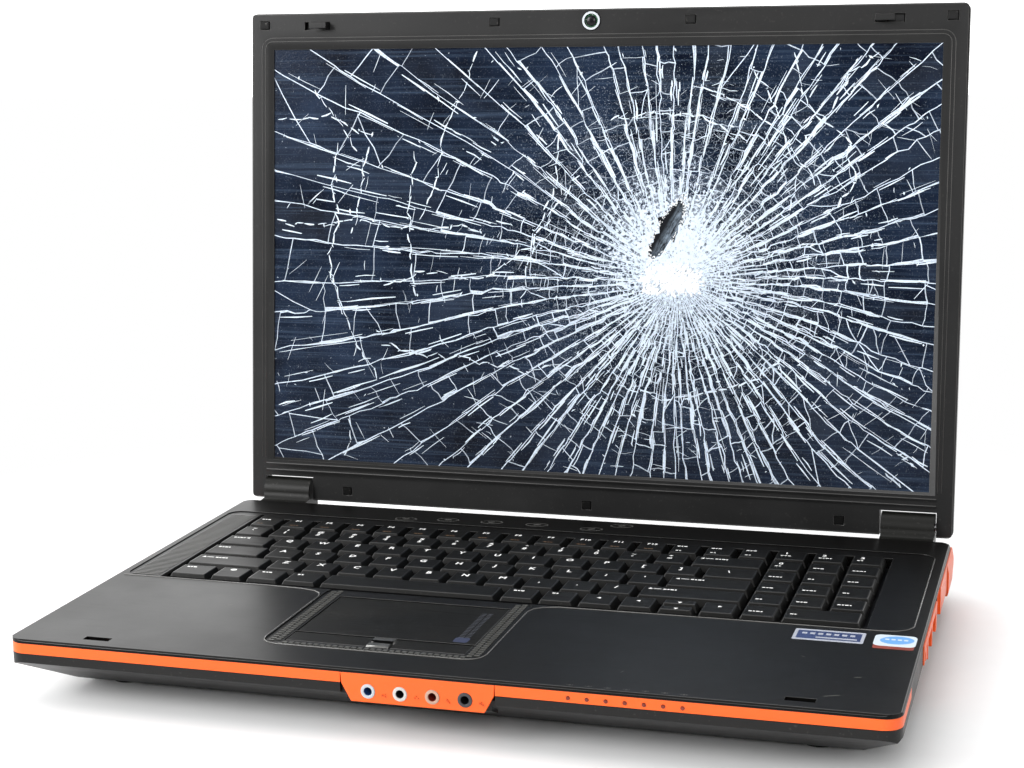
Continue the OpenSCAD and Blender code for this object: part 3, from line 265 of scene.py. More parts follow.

# The deck is an ABS plate painted satin black over the shell, sunk half a millimetre round the
# keyboard and touchpad. Its rounded edges, the rim of the sunk field among them, are painted
# lighter: a painted highlight.
deck_paint = moulded("satin black deck paint", (0.0030, 0.0028, 0.0026, 1), gloss=0.35,
                     specular=0.13, grain=0.04, grain_size=2600.0, rubbed=1.25, dust=0.012,
                     scuff=1.05)
# The rounded edges of the deck and touchpad take this lighter colour, a painted highlight.
deck_edge_highlight = moulded("deck paint edge painted with highlight", (0.030, 0.0295, 0.028, 1), gloss=0.3,
                   specular=0.5, dust=0.02)
soft_edged("top_case", 0.3, deck_paint, deck_edge_highlight)
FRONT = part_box("top_case")[0].y
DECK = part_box("top_case")[1].z
SUNK = DECK - 0.5 * MM


def lift(mesh, faces, height):
    """Gives some flat faces a thickness."""
    top = bmesh.ops.extrude_face_region(mesh, geom=faces)["geom"]
    bmesh.ops.translate(mesh, verts=[v for v in top if isinstance(v, bmesh.types.BMVert)],
                        vec=(0, 0, height))


def tile(mesh, low, high, z, height, corner=0.0):
    """A thin plate from one corner to the other in millimetres from the front edge."""
    middle = Matrix.Translation(((low[0] + high[0]) / 2 * MM,
                                 (low[1] + high[1]) / 2 * MM + FRONT, z))
    size = Matrix.Diagonal(((high[0] - low[0]) * MM, (high[1] - low[1]) * MM, 1, 1))
    corners = bmesh.ops.create_grid(mesh, x_segments=1, y_segments=1, size=0.5,
                                    matrix=middle @ size)["verts"]
    face = corners[0].link_faces[0]
    if corner:
        rounded = bmesh.ops.bevel(mesh, geom=corners, offset=corner * MM, segments=4,
                                  profile=0.5, affect="VERTICES", material=-1)
        face = next(f for f in mesh.faces if set(f.verts) == set(rounded["verts"]))
    lift(mesh, [face], height)


def disc(mesh, centre, radii, z, height, turned=0.0, segments=28):
    """A thin oval plate, in millimetres from the front edge."""
    place = (Matrix.Translation((centre[0] * MM, centre[1] * MM + FRONT, z))
             @ Matrix.Rotation(math.radians(turned), 4, "Z")
             @ Matrix.Diagonal((radii[0] * MM, radii[1] * MM, 1, 1)))
    rim = bmesh.ops.create_circle(mesh, cap_ends=True, radius=1, segments=segments,
                                  matrix=place)["verts"]
    lift(mesh, rim[0].link_faces[:1], height)


def outward(mesh):
    bmesh.ops.recalc_face_normals(mesh, faces=mesh.faces)
    return mesh


# A fine raised bead runs round the palm rests where the deck drops to the sunk field. It is part
# of the moulding, and is painted pale: a painted highlight along its crest.
def bead(mesh, route, radius, place, closed=False):
    """A thin round bead along a flat route in millimetres."""
    rings = []
    last = len(route) - 1
    for count, (x, y) in enumerate(route):
        before = route[count - 1] if closed or count else route[0]
        after = route[(count + 1) % len(route)] if closed or count < last else route[last]
        way = math.atan2(after[1] - before[1], after[0] - before[0])
        here = (place @ Matrix.Translation((x * MM, y * MM, -0.02 * MM))
                @ Matrix.Rotation(way, 4, "Z") @ Matrix.Rotation(math.radians(90), 4, "Y"))
        made = bmesh.ops.create_circle(mesh, radius=radius * MM, segments=8, matrix=here)["verts"]
        rings.append(list(dict.fromkeys(e for v in made for e in v.link_edges)))
    for first, second in zip(rings, rings[1:] + rings[:1] if closed else rings[1:]):
        bmesh.ops.bridge_loops(mesh, edges=first + second)
    bmesh.ops.holes_fill(mesh, edges=mesh.edges)
    for face in mesh.faces:
        face.smooth = True


PALM_ROUTE = [(-193.2, 104.2), (-117.8, 103.8), (-98.2, 102.9), (-90.2, 101.0), (-86.2, 97.8),
              (-84.6, 92.9), (-84.6, 31.0), (-83.4, 26.4), (-80.6, 23.6), (-76.0, 22.4),
              (-30.0, 22.4), (10.0, 22.4), (14.6, 23.6), (17.4, 26.4), (18.6, 31.0), (18.6, 93.0),
              (20.2, 98.0), (24.0, 101.4), (31.0, 103.6), (96.9, 104.4), (178.0, 104.4),
              (185.0, 105.2), (189.6, 108.4), (191.9, 113.0), (191.9, 150.0), (191.9, 226.0)]
palm_bead = bmesh.new()
bead(palm_bead, PALM_ROUTE, 0.34, Matrix.Translation((0, FRONT, DECK)))
bead_highlight_and_ring_grey = moulded("grey of bead highlight and key rings", (0.085, 0.083, 0.078, 1), gloss=0.26,
                     specular=0.6, dust=0.02)
placed("palm_rest_bead", outward(palm_bead), [bead_highlight_and_ring_grey], "base")

# A band of small raised blocks, like tread, runs down both sides of the touchpad and along its
# front. It is moulded in the floor of the sunk field.
pad_low, pad_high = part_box("touchpad")
PAD = [v / MM for v in (pad_low.x, pad_low.y - FRONT, pad_high.x, pad_high.y - FRONT)]
TREAD_T = 0.28 * MM
SIDE_PITCH, FRONT_PITCH = 2.75, 2.95
tread = bmesh.new()
for side in (PAD[0] - 6.9, PAD[2] + 1.3):
    for row in range(28):
        for column in (0, 1):
            x = side + column * 3.0
            y = 27.4 + row * SIDE_PITCH + column * 1.37
            tile(tread, (x, y), (x + 2.5, y + 1.5), SUNK, TREAD_T)
for column in range(29):
    for row in (0, 1):
        x = PAD[0] - 1.0 + column * FRONT_PITCH + row * 1.45
        y = 22.6 + row * 2.9
        tile(tread, (x, y), (x + 2.1, y + 2.2), SUNK, TREAD_T)
# The blocks are painted lighter than the field: a painted highlight on their tops.
tread_highlight = moulded("tread painted with highlight", (0.048, 0.047, 0.042, 1), gloss=0.34, specular=0.45)
placed("touchpad_tread", outward(tread), [tread_highlight], "base")

# To the left of the keys the sunk field is ribbed, with fine ribs that run from side to side.
# They are moulded in the deck plate and painted lighter: a painted highlight on their crests.
RIBS, RIB_PITCH, RIB_WIDTH, RIB_T = 54, 2.2, 0.8, 0.22 * MM
ribs = bmesh.new()
for count in range(RIBS):
    y = 108.6 + count * RIB_PITCH
    tile(ribs, (-190.8, y), (-176.4, y + RIB_WIDTH), SUNK, RIB_T)
rib_highlight = moulded("ribs painted with highlight", (0.075, 0.074, 0.070, 1), gloss=0.4)
placed("side_ribs", outward(ribs), [rib_highlight], "base")

# The front band is a separate orange ABS strip, glossier than the case. Its middle widens into
# the panel of the four sound sockets, with small marks moulded beside them.
orange = moulded("orange plastic", (0.95, 0.120, 0.010, 1), gloss=0.36, specular=0.4, rubbed=0.93,
                 grain=0.04, dust=0.03)
for name in ("front_band", "jack_panel"):
    soft_edged(name, 0.3, orange)
jack_low, jack_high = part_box("audio_jacks")
JACK_R = 5 * MM
JACK_PITCH = (jack_high.x - jack_low.x - 2 * JACK_R) / 3
JACK_UP = (jack_low.z + jack_high.z) / 2
MARK_T = 0.12 * MM
# Each mark is a few round dots: across, up and radius, in millimetres from its first one.
MARKS = (((0, 0, 0.45), (1.3, 0.5, 0.3), (1.3, -0.5, 0.3)),
         ((0, 0, 0.35), (0.8, 0.8, 0.3), (1.6, 0, 0.35)),
         ((0, 0.5, 0.5), (0.5, -0.1, 0.4), (1.0, -0.7, 0.28)),
         ((0, 0.3, 0.4), (0.7, 0, 0.3), (1.4, -0.3, 0.4), (0.7, 0.8, 0.3)))
marks = bmesh.new()


def poured(mesh, part):
    """Moves everything in a small mesh into a larger one."""
    kept = bpy.data.meshes.new("part")
    part.to_mesh(kept)
    part.clear()
    mesh.from_mesh(kept)
    bpy.data.meshes.remove(kept)


for count, dots in enumerate(MARKS):
    x = jack_low.x + JACK_R + count * JACK_PITCH + 6.6 * MM
    drawn = bmesh.new()
    for across, high, size in dots:
        rim = bmesh.ops.create_circle(drawn, cap_ends=True, radius=size, segments=10,
                                      matrix=Matrix.Translation((across, high, 0)))["verts"]
        lift(drawn, rim[0].link_faces[:1], 0.25)
    bmesh.ops.scale(drawn, verts=drawn.verts, vec=(MM, MM, MM))
    bmesh.ops.transform(drawn, verts=drawn.verts,
                        matrix=Matrix.Translation((x, FRONT - MARK_T, JACK_UP - 1.2 * MM))
                        @ Matrix.Rotation(math.radians(90), 4, "X"))
    poured(marks, drawn)
    drawn.free()
# The marks are painted a darker orange than the band: painted shade on the relief.
orange_painted_shade = moulded("orange relief painted with shade", (0.42, 0.055, 0.010, 1), gloss=0.5)
placed("socket_marks", outward(marks), [orange_painted_shade], "base")

# Each sound socket is a plastic barrel with its own colour: blue line in, white headphones,
# cream and red microphone, and a dark digital outlet. They stand on the board behind the panel,
# with their lips rounded by the mould.
# The lips are painted paler and the bores darker than each barrel's colour: a painted highlight on
# the lips and painted shade in the bores.
LIP_HIGHLIGHT_COLOURS = [(0.46, 0.50, 0.54), (0.56, 0.55, 0.52), (0.50, 0.31, 0.23), (0.035, 0.035, 0.04)]
BORE_SHADE_COLOURS = [(0.02, 0.07, 0.22), (0.015, 0.015, 0.018), (0.26, 0.025, 0.015),
                (0.01, 0.01, 0.012)]
BORE_R = 2.05 * MM
socket_finishes = []
for name, colours in (("ring", LIP_HIGHLIGHT_COLOURS), ("bore", BORE_SHADE_COLOURS)):
    for count, colour in enumerate(colours):
        socket_finishes.append(moulded("socket %s %d" % (name, count + 1), colour + (1,),
                                       gloss=0.3, specular=0.5, rubbed=0.9, dust=0.02))
sockets = merged("audio_jacks")
lips = [e for e in sockets.edges if len(e.link_faces) == 2 and e.is_convex
        and e.calc_face_angle(0) > math.radians(40)
        and max(v.co.y for v in e.verts) < jack_low.y + 0.3 * MM]
bmesh.ops.bevel(sockets, geom=lips, offset=0.3 * MM, segments=3, profile=0.5, affect="EDGES",
                clamp_overlap=True, material=-1)
for face in sockets.faces:
    middle = face.calc_center_median()
    count = min(3, max(0, round((middle.x - jack_low.x - JACK_R) / JACK_PITCH)))
    axis = jack_low.x + JACK_R + count * JACK_PITCH
    reach = Vector((middle.x - axis, 0, middle.z - JACK_UP)).length
    inside = reach < BORE_R and middle.y > jack_low.y + 0.25 * MM
    face.material_index = count + (4 if inside else 0)
    face.smooth = True
shown_sockets = placed("audio_jacks_shown", sockets, socket_finishes, "base")
shown_sockets.data.set_sharp_from_angle(angle=math.radians(35))
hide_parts("audio_jacks")

# Seven light pipes of amber acrylic come through the band, and a faint printed mark for each
# stands on the lip of the deck above it.
lens = moulded("amber light pipe", (0.16, 0.018, 0.006, 1), gloss=0.18, specular=0.5, grain=0.01)
soft_edged("status_lights", 0.15, lens, shortest=0.2)
faint_print = moulded("faint grey print", (0.055, 0.053, 0.050, 1), gloss=0.5)
lip_marks = bmesh.new()
INK = 0.03 * MM
FIRST_LIGHT, LIGHT_PITCH, LIGHTS = 62.9, 7.95, 7
for count in range(LIGHTS):
    x = FIRST_LIGHT + count * LIGHT_PITCH
    disc(lip_marks, (x, 3.1), (0.55, 0.8), DECK, INK, segments=10)
    tile(lip_marks, (x - 1.5, 2.9), (x - 0.9, 3.5), DECK, INK)
    tile(lip_marks, (x + 0.9, 2.6), (x + 1.3, 3.7), DECK, INK)
placed("light_marks", outward(lip_marks), [faint_print], "base")

# The orange side trims are screwed on from inside and wrap the ports. The ports are folded
# steel shells round black plastic tongues.
for name in ("right_side_trim", "left_side_trim"):
    soft_edged(name, 0.5, orange, segments=3)
soft_edged("port_sockets", 0.15, dark_steel, shortest=1.0)

# The keyboard: ABS caps with pad-printed legends on a black steel plate. The caps are dished,
# their edges rounded, and the front skirts catch the light. The rounded edges are painted
# lighter: a painted highlight.
key_black = moulded("black keycap plastic", (0.0034, 0.0033, 0.0030, 1), gloss=0.42,
                    specular=0.12, grain=0.10, grain_size=1900.0, rubbed=1.8, dust=0.03)
key_edge_highlight = moulded("keycap edge painted with highlight", (0.0085, 0.0083, 0.0078, 1), gloss=0.34,
                   specular=0.28)
key_print = moulded("white key print", (0.92, 0.92, 0.90, 1), gloss=0.5, rubbed=0.9, dust=0.0)
second_print = moulded("brown key print", (0.15, 0.085, 0.045, 1), gloss=0.5, rubbed=0.8)
dress("keyboard_plate", dark_steel)
KEY_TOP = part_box("space_bar")[1].z
KEY_DISH = 0.22 * MM


def dished(mesh):
    """Presses a shallow dish in the top of each cap."""
    tops = [f for f in mesh.faces
            if f.normal.z > 0.99 and f.calc_center_median().z > KEY_TOP - 0.05 * MM]
    bmesh.ops.inset_individual(mesh, faces=tops, thickness=1.1 * MM, depth=-KEY_DISH)


def caps(name):
    """The caps of a key group as plan boxes in millimetres from the front edge, in reading
    order."""
    mesh = merged(name, flats=False)
    left, found = set(mesh.verts), []
    while left:
        todo, island = [left.pop()], []
        while todo:
            corner = todo.pop()
            island.append(corner.co.copy())
            for edge in corner.link_edges:
                other = edge.other_vert(corner)
                if other in left:
                    left.remove(other)
                    todo.append(other)
        found.append([min(c.x for c in island) / MM, (min(c.y for c in island) - FRONT) / MM,
                      max(c.x for c in island) / MM, (max(c.y for c in island) - FRONT) / MM])
    mesh.free()
    return sorted(found, key=lambda c: (-round(c[1] / 5), c[0]))


def letter(mesh, text, x, y, size, z=None):
    """Adds one printed character, its middle at a place on a cap."""
    curve = bpy.data.curves.new("print", "FONT")
    curve.body = text
    curve.size = size * MM
    curve.extrude = PRINT_T / 2
    curve.offset = 0.13 * MM
    curve.resolution_u = 2
    curve.align_x = "CENTER"
    curve.align_y = "CENTER"
    holder = bpy.data.objects.new("print", curve)
    flat = bpy.data.meshes.new_from_object(holder)
    flat.transform(Matrix.Translation((x * MM, y * MM + FRONT, z or PRINT_Z)))
    mesh.from_mesh(flat)
    bpy.data.meshes.remove(flat)
    bpy.data.objects.remove(holder)
    bpy.data.curves.remove(curve)


PRINT_T = 0.03 * MM
PRINT_Z = KEY_TOP - KEY_DISH + PRINT_T / 2


def dashes(mesh, x, y, widths, tall=1.25):
    """A row of short printed dashes in place of a word."""
    for width in widths:
        tile(mesh, (x, y - tall / 2), (x + width, y + tall / 2), PRINT_Z - PRINT_T / 2, PRINT_T)
        x += width + 0.45


def arrow(mesh, x, y, turned, size=1.3):
    disc(mesh, (x, y), (size, size), PRINT_Z - PRINT_T / 2, PRINT_T, turned, segments=3)


# What each cap says, in reading order. A space is a cap with a word, printed as dashes.
LEGENDS = {
    "number_keys": "`1234567890-=",
    "upper_letter_keys": " QWERTYUIOP[]\\",
    "home_letter_keys": " ASDFGHJKL;'",
    "lower_letter_keys": "ZXCVBNM,./",
}
SECOND_SIGNS = "~!@#$%^&*()_+"
PAD_SIGNS = {(1, 0): "1", (2, 0): "4", (3, 0): "7", (1, 1): "2", (2, 1): "5", (3, 1): "8",
             (1, 2): "3", (2, 2): "6", (3, 2): "9", (0, 0): "0", (4, 0): "+", (4, 1): "/",
             (4, 2): "-", (5, 1): "/", (5, 2): "*"}
WORD = (1.5, 1.0, 1.7, 0.9)
CAP_EDGE = 0.55
for group in ("function_keys", "number_keys", "upper_letter_keys", "home_letter_keys",
              "lower_letter_keys", "bottom_keys", "number_pad_keys"):
    soft_edged(group, CAP_EDGE, key_black, key_edge_highlight, shape=dished)
    white, second = bmesh.new(), bmesh.new()
    for count, (x0, y0, x1, y1) in enumerate(caps(group)):
        x = (x0 + x1) / 2
        back = y1 - 4.3
        front = y0 + 6.2
        if group in LEGENDS:
            mark = LEGENDS[group][count]
            if mark == " ":
                dashes(white, x0 + 4.2, back, WORD)
                if group == "upper_letter_keys":
                    arrow(white, x0 + 12.5, back, 90)
            elif group == "number_keys":
                letter(white, mark, x - 1.2, back - 4.2, 4.6)
                letter(white, SECOND_SIGNS[count], x - 1.2, back + 0.3, 3.6)
            elif mark in "[]\\;',./":
                letter(white, mark, x - 1.2, back - 2.2, 5.0)
            else:
                letter(white, mark, x - 1.4, back - 0.6, 5.0)
        elif group == "function_keys":
            if 1 <= count <= 12:
                letter(white, "F", x - 2.2, back + 0.4, 3.2)
                letter(white, str(count)[0], x - 0.2, back + 0.4, 3.2)
                if count > 9:
                    letter(white, str(count)[1], x + 1.6, back + 0.4, 3.2)
                dashes(second, x - 2.8, front - 0.8, (1.6, 0.9, 1.2), 1.1)
            else:
                dashes(white, x0 + 3.6, back, WORD[:3])
                dashes(white if count > 12 else second, x0 + 4.2, front - 0.6, (1.4, 1.0), 0.9)
        elif group == "bottom_keys":
            if x > 73 and y1 - y0 < 12:
                arrow(white, x, (y0 + y1) / 2, 0 if y0 > 170 else 180)
            elif count in (7, 8, 9, 10) or x > 50:
                arrow(white, x, back - 2.0, 90 if x < 73 else -90)
            elif count == 2:
                disc(white, (x - 1, back), (1.7, 1.4), PRINT_Z - PRINT_T / 2, PRINT_T, segments=12)
            else:
                dashes(white, x0 + 4.6, back, WORD[:2 + count % 2])
        else:
            row = round((y0 - 175.6) / 18.9)
            column = round((x0 - 113) / 19)
            if (row, column) in PAD_SIGNS:
                letter(white, PAD_SIGNS[row, column], x - 2.6, back - 0.8, 4.4)
            dashes(white, x0 + 4.0, back - 5.0, WORD[:2 + (row + column) % 3], 1.0)
    placed(group + "_print", outward(white), [key_print], "base")
    if second.verts:
        placed(group + "_second_print", outward(second), [second_print], "base")
    else:
        second.free()

# A black sheet lies on the sunk field along the left and front edges of the keyboard: painted
# shadow of the gap round the keys, in two thin strips.
KEYS_LEFT, KEYS_FRONT = (min(cap[side] for cap in caps("bottom_keys")) for side in (0, 1))
KEYS_RIGHT = max(cap[2] for cap in caps("number_pad_keys"))
seal = bmesh.new()
SHADOW_SHEET_T = 0.05 * MM
tile(seal, (KEYS_LEFT - 3.0, KEYS_FRONT - 2.6), (KEYS_LEFT - 0.6, KEYS_FRONT + 121), SUNK,
     SHADOW_SHEET_T, 0.8)
tile(seal, (KEYS_LEFT - 0.4, KEYS_FRONT - 2.6), (KEYS_RIGHT, KEYS_FRONT - 0.4), SUNK, SHADOW_SHEET_T)
felt = moulded("black felt", (0.0012, 0.0012, 0.0012, 1), gloss=0.95, specular=0.02, grain=0.4,
               dust=0.01)
placed("keyboard_seal", outward(seal), [felt], "base")

# The five wide keys are caps of the same plastic, each on its own wire frame, so they press by
# themselves. Their signs are printed like the others, and move with them.
for name in ("space_bar", "enter_key", "backspace_key", "left_shift_key", "right_shift_key"):
    soft_edged(name, CAP_EDGE, key_black, key_edge_highlight, shape=dished)
    if name == "space_bar":
        continue
    x0, y0, x1, y1 = caps(name)[0]
    white = bmesh.new()
    arrow(white, x0 + 5.2, y1 - 4.6, 0 if "shift" in name else 90)
    tile(white, (x0 + 6.6, y1 - 4.9), (x0 + 10.4, y1 - 4.3), PRINT_Z - PRINT_T / 2, PRINT_T)
    dashes(white, x0 + 11.4, y1 - 4.6, WORD)
    placed(name + "_print", outward(white), [key_print], name)

# The touchpad is a matt polycarbonate sheet on a sensor board, with a printed strip at its
# right edge for scrolling and two buttons in front. A satin silver double bar parts the buttons.
pad_skin = moulded("matt touchpad skin", (0.0046, 0.0044, 0.0038, 1), gloss=0.42, specular=0.09,
                   grain=0.1, grain_size=2600.0, rubbed=1.9)
# The rounded edges of the pad and its buttons are painted lighter: a painted highlight.
soft_edged("touchpad", 0.25, pad_skin, deck_edge_highlight)
for name in ("left_touch_button", "right_touch_button"):
    soft_edged(name, 0.5, pad_skin, case_edge_highlight)
silver = metal("satin silver paint", (0.17, 0.17, 0.165, 1), 0.42, brushed=(2400, 60, 60))
soft_edged("button_divider", 0.3, silver, segments=3)
bar_low, bar_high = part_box("button_divider")
BAR = [v / MM for v in (bar_low.x, bar_low.y - FRONT, bar_high.x, bar_high.y - FRONT)]
# A black strip across the middle of the bar is painted shade for the gap between its two halves.
gap_shade_strip = bmesh.new()
tile(gap_shade_strip, (BAR[0] + 0.2, BAR[1] + 0.44 * (BAR[3] - BAR[1])),
     (BAR[2] - 0.2, BAR[1] + 0.60 * (BAR[3] - BAR[1])), bar_high.z, INK)
placed("divider_gap_painted_shade", outward(gap_shade_strip), [felt], "base")
strip = bmesh.new()
DASHES, DASH_PITCH = 20, 2.05
for count in range(DASHES):
    y = PAD[1] + 4.6 + count * DASH_PITCH
    tile(strip, (PAD[2] - 10.6, y), (PAD[2] - 8.2, y + 0.9), pad_high.z, INK)
    tile(strip, (PAD[2] - 7.6, y + 0.3), (PAD[2] - 5.4, y + 1.1), pad_high.z, INK)
grey_print = moulded("grey scroll print", (0.034, 0.036, 0.044, 1))
placed("scroll_print", outward(strip), [grey_print], "base")
end = bmesh.new()
tile(end, (PAD[2] - 11.4, PAD[1] + 2.4), (PAD[2] - 4.6, PAD[1] + 8.6), pad_high.z + INK,
     0.02 * MM, 1.0)
blue_print = moulded("blue scroll print", (0.022, 0.028, 0.060, 1))
placed("scroll_end_print", outward(end), [blue_print], "base")

# Two vinyl stickers are on the right palm rest: a navy one in a silver border, and a pale leaf
# in light blue over a dark red strip. They carry only plain fields of colour.
sticker_silver = moulded("silver vinyl", (0.42, 0.44, 0.50, 1), gloss=0.3, specular=0.5,
                         rubbed=0.8, grain=0.02)
navy_vinyl = moulded("navy vinyl", (0.020, 0.035, 0.105, 1), gloss=0.3, specular=0.5, grain=0.02)
sky_vinyl = moulded("light blue vinyl", (0.13, 0.33, 0.66, 1), gloss=0.3, specular=0.5,
                    rubbed=1.15, grain=0.02)
pale_vinyl = moulded("pale vinyl", (0.62, 0.70, 0.76, 1), gloss=0.3, specular=0.5, rubbed=0.9,
                     grain=0.02)
red_vinyl = moulded("dark red vinyl", (0.20, 0.035, 0.020, 1), gloss=0.3, specular=0.5, grain=0.02)
PAPER, COLOUR_T, MARK_COLOUR_T = 0.06 * MM, 0.02 * MM, 0.01 * MM


def label(name, vinyl, z, thick, plates, corner=0.0):
    """One layer of a sticker in one colour, as plates from corner to corner."""
    layer = bmesh.new()
    for low, high in plates:
        tile(layer, low, high, z, thick, corner)
    placed(name, outward(layer), [vinyl], "base")


label("sticker_border", sticker_silver, DECK, PAPER, [((141.5, 84.4), (172.5, 99.4))], 0.8)
label("sticker_field", navy_vinyl, DECK + PAPER, COLOUR_T, [((143.0, 86.4), (171.0, 97.4))], 0.4)
label("sticker_marks", sticker_silver, DECK + PAPER + COLOUR_T, MARK_COLOUR_T,
      [((145.0 + count * 3.5, 92.6), (147.2 + count * 3.5, 95.0)) for count in range(7)]
      + [((151.5, 88.0), (169.5, 89.6))])
label("leaf_strip", red_vinyl, DECK, PAPER, [((176.8, 80.4), (194.4, 86.2))], 1.2)
label("leaf_border", pale_vinyl, DECK + PAPER, COLOUR_T, [((176.6, 84.0), (194.8, 99.6))], 3.0)
leaf = bmesh.new()
disc(leaf, (186.4, 92.6), (7.4, 5.4), DECK + PAPER + COLOUR_T, COLOUR_T, 12)
placed("leaf_field", outward(leaf), [sky_vinyl], "base")
label("leaf_marks", pale_vinyl, DECK + PAPER + 2 * COLOUR_T, MARK_COLOUR_T,
      [((181.2 + count * 2.7, 92.4), (183.0 + count * 2.7, 94.2)) for count in range(4)])

# A row of touch keys behind the keyboard shows only as dark ovals with a grey ring. They are
# painted and printed on the deck, over sensors on its underside.
rings, centres = bmesh.new(), bmesh.new()
for x, y in ((-92.5, 238.0), (-69.4, 241.5), (-44.8, 242.4), (-19.4, 242.9), (11.2, 241.1),
             (25.6, 251.1)):
    disc(rings, (x, y), (6.2, 3.3), DECK, INK, 8)
    disc(centres, (x, y), (5.5, 2.7), DECK + INK, COLOUR_T, 8)
    disc(rings, (x, y), (2.2, 0.9), DECK + INK + COLOUR_T, MARK_COLOUR_T, 20)
placed("media_key_rings", outward(rings), [bead_highlight_and_ring_grey], "base")
placed("media_key_faces", outward(centres), [deck_paint], "base")

# Scratches and chips from years of use go through the deck's paint and show the pale plastic
# under it. Most are near the right palm rest.
scratches = bmesh.new()
SCRATCHES = ((175.5, 41.0, 3.4, 20), (168.0, 16.5, 7.5, 24), (80.0, 24.0, 2.6, 70),
             (150.0, 62.0, 2.2, -30), (-120.0, 70.0, 3.0, 15))
for x, y, length, turned in SCRATCHES:
    disc(scratches, (x, y), (length / 2, 0.22), DECK, COLOUR_T, turned, segments=10)
bared = moulded("plastic bared by a scratch", (0.10, 0.10, 0.09, 1), gloss=0.6)
placed("deck_scratches", outward(scratches), [bared], "base")

# The disc tray is a charcoal plastic drawer with a round well, which slides out of the drive on
# the left side. Its eject button is of the same plastic.
for name in ("disc_tray", "eject_button"):
    soft_edged(name, 0.35, case_grain, case_edge_highlight)

# The hinges are steel barrels under cast zinc caps, painted grey, a little paler than the case.
# The caps are screwed to the deck at both ends of the lid.
cap_paint = moulded("grey painted zinc", (0.0066, 0.0066, 0.0056, 1), gloss=0.38, specular=0.22,
                    rubbed=1.25, grain=0.05)
soft_edged("hinge_caps", 0.4, cap_paint, segments=3)

# The lid's shell and frame are charcoal ABS mouldings clipped together round the screen. The
# frame's window has a bevelled rim, and two ledges run under the screen.
frame_satin = moulded("satin frame plastic", (0.0080, 0.0080, 0.0081, 1), gloss=0.40,
                      specular=0.34, grain=0.05, grain_size=2200.0, rubbed=1.3, dust=0.03)
# The rounded edges of the frame and the shell are painted lighter: a painted highlight.
frame_edge_highlight = moulded("frame plastic edge painted with highlight", (0.055, 0.054, 0.052, 1), gloss=0.32,
                    specular=0.5)
soft_edged("screen_frame", 0.3, frame_satin, frame_edge_highlight, shortest=2.5)
soft_edged("lid_back", 0.6, case_grain, case_edge_highlight, shortest=4.0)
for name in ("left_lid_latch", "right_lid_latch"):
    soft_edged(name, 0.2, frame_satin, shortest=1.0)
cap_rubber = moulded("black cap rubber", (0.0016, 0.0016, 0.0015, 1), gloss=0.6, specular=0.12)
soft_edged("frame_screw_caps", 0.2, cap_rubber, shortest=1.0)
dead_panel = moulded("dead panel behind the glass", (0.004, 0.006, 0.012, 1), gloss=0.3)
dress("display_panel", dead_panel)

# The lid leans back, so its pieces are made flat and then set on it: across, up the lid and out
# of its face, measured from the middle of its lower edge.
LEAN = math.radians(5.35)
UP = Vector((0, math.sin(LEAN), math.cos(LEAN)))
OUT = Vector((0, -math.cos(LEAN), math.sin(LEAN)))
AXIS = Vector(next(j for j in frame["joints"] if j["name"] == "lid_hinge")["pos_m"])
AXIS_UP, AXIS_BEHIND = 4.1 * MM, 3.0 * MM
CORNER = AXIS - AXIS_UP * UP + AXIS_BEHIND * OUT
ON_LID = Matrix.Translation(CORNER) @ Matrix((Vector((1, 0, 0)), UP, OUT)).transposed().to_4x4()

# Two fine beads run round the window on the frame, with round corners at the top. They are
# part of the frame's moulding and are painted pale: a painted highlight along their crests.
WINDOW_HALF, WINDOW_LOW, WINDOW_HIGH = 184.6, 22.25, 253.67
window_beads = bmesh.new()
for off in (4.4, 6.4):
    corner = [(WINDOW_HALF + off * math.cos(math.radians(a)),
               WINDOW_HIGH + off * math.sin(math.radians(a))) for a in range(0, 91, 15)]
    foot = (WINDOW_HALF + off, WINDOW_LOW)
    route = [foot] + corner + [(-x, y) for x, y in reversed(corner)] + [(-foot[0], foot[1])]
    bead(window_beads, route, 0.22, ON_LID)
placed("window_beads", outward(window_beads), [frame_edge_highlight], "lid")

# The camera in the top of the frame: a bright plated ring round a black glass lens, pressed in
# from behind.
ring_white = moulded("bright camera ring", (0.62, 0.66, 0.70, 1), gloss=0.3, specular=0.5,
                     rubbed=0.85)
lens_black = moulded("black lens glass", (0.004, 0.004, 0.006, 1), gloss=0.22, specular=0.3,
                     grain=0.0, rubbed=1.1)
soft_edged("webcam_ring", 0.3, lens_black, shortest=0.3)
RING_OUT, RING_IN, RING_T = 4.85 * MM, 3.75 * MM, 0.14 * MM
CAMERA_UP, LENS_R = 267.17 * MM, 2.9 * MM
ring = bmesh.new()
rim = bmesh.ops.create_circle(ring, cap_ends=True, radius=RING_OUT, segments=56)["verts"]
face = rim[0].link_faces[0]
bmesh.ops.inset_individual(ring, faces=[face], thickness=RING_OUT - RING_IN)
bmesh.ops.delete(ring, geom=[face], context="FACES")
bmesh.ops.translate(ring, verts=ring.verts, vec=(0, CAMERA_UP, 0.50 * MM))
lift(ring, ring.faces[:], RING_T)
bmesh.ops.transform(ring, verts=ring.verts, matrix=ON_LID)
placed("camera_ring", outward(ring), [ring_white], "lid")
pupil = bmesh.new()
bmesh.ops.create_uvsphere(pupil, u_segments=32, v_segments=16, radius=LENS_R,
                          matrix=Matrix.Translation((0, CAMERA_UP, -0.25 * MM))
                          @ Matrix.Diagonal((1, 1, 0.3, 1)))
bmesh.ops.bisect_plane(pupil, geom=pupil.verts[:] + pupil.edges[:] + pupil.faces[:],
                       plane_co=(0, 0, -0.3 * MM), plane_no=(0, 0, -1), clear_outer=True)
bmesh.ops.edgeloop_fill(pupil, edges=[e for e in pupil.edges if e.is_boundary])
bmesh.ops.transform(pupil, verts=pupil.verts, matrix=ON_LID)
for face in pupil.faces:
    face.smooth = True
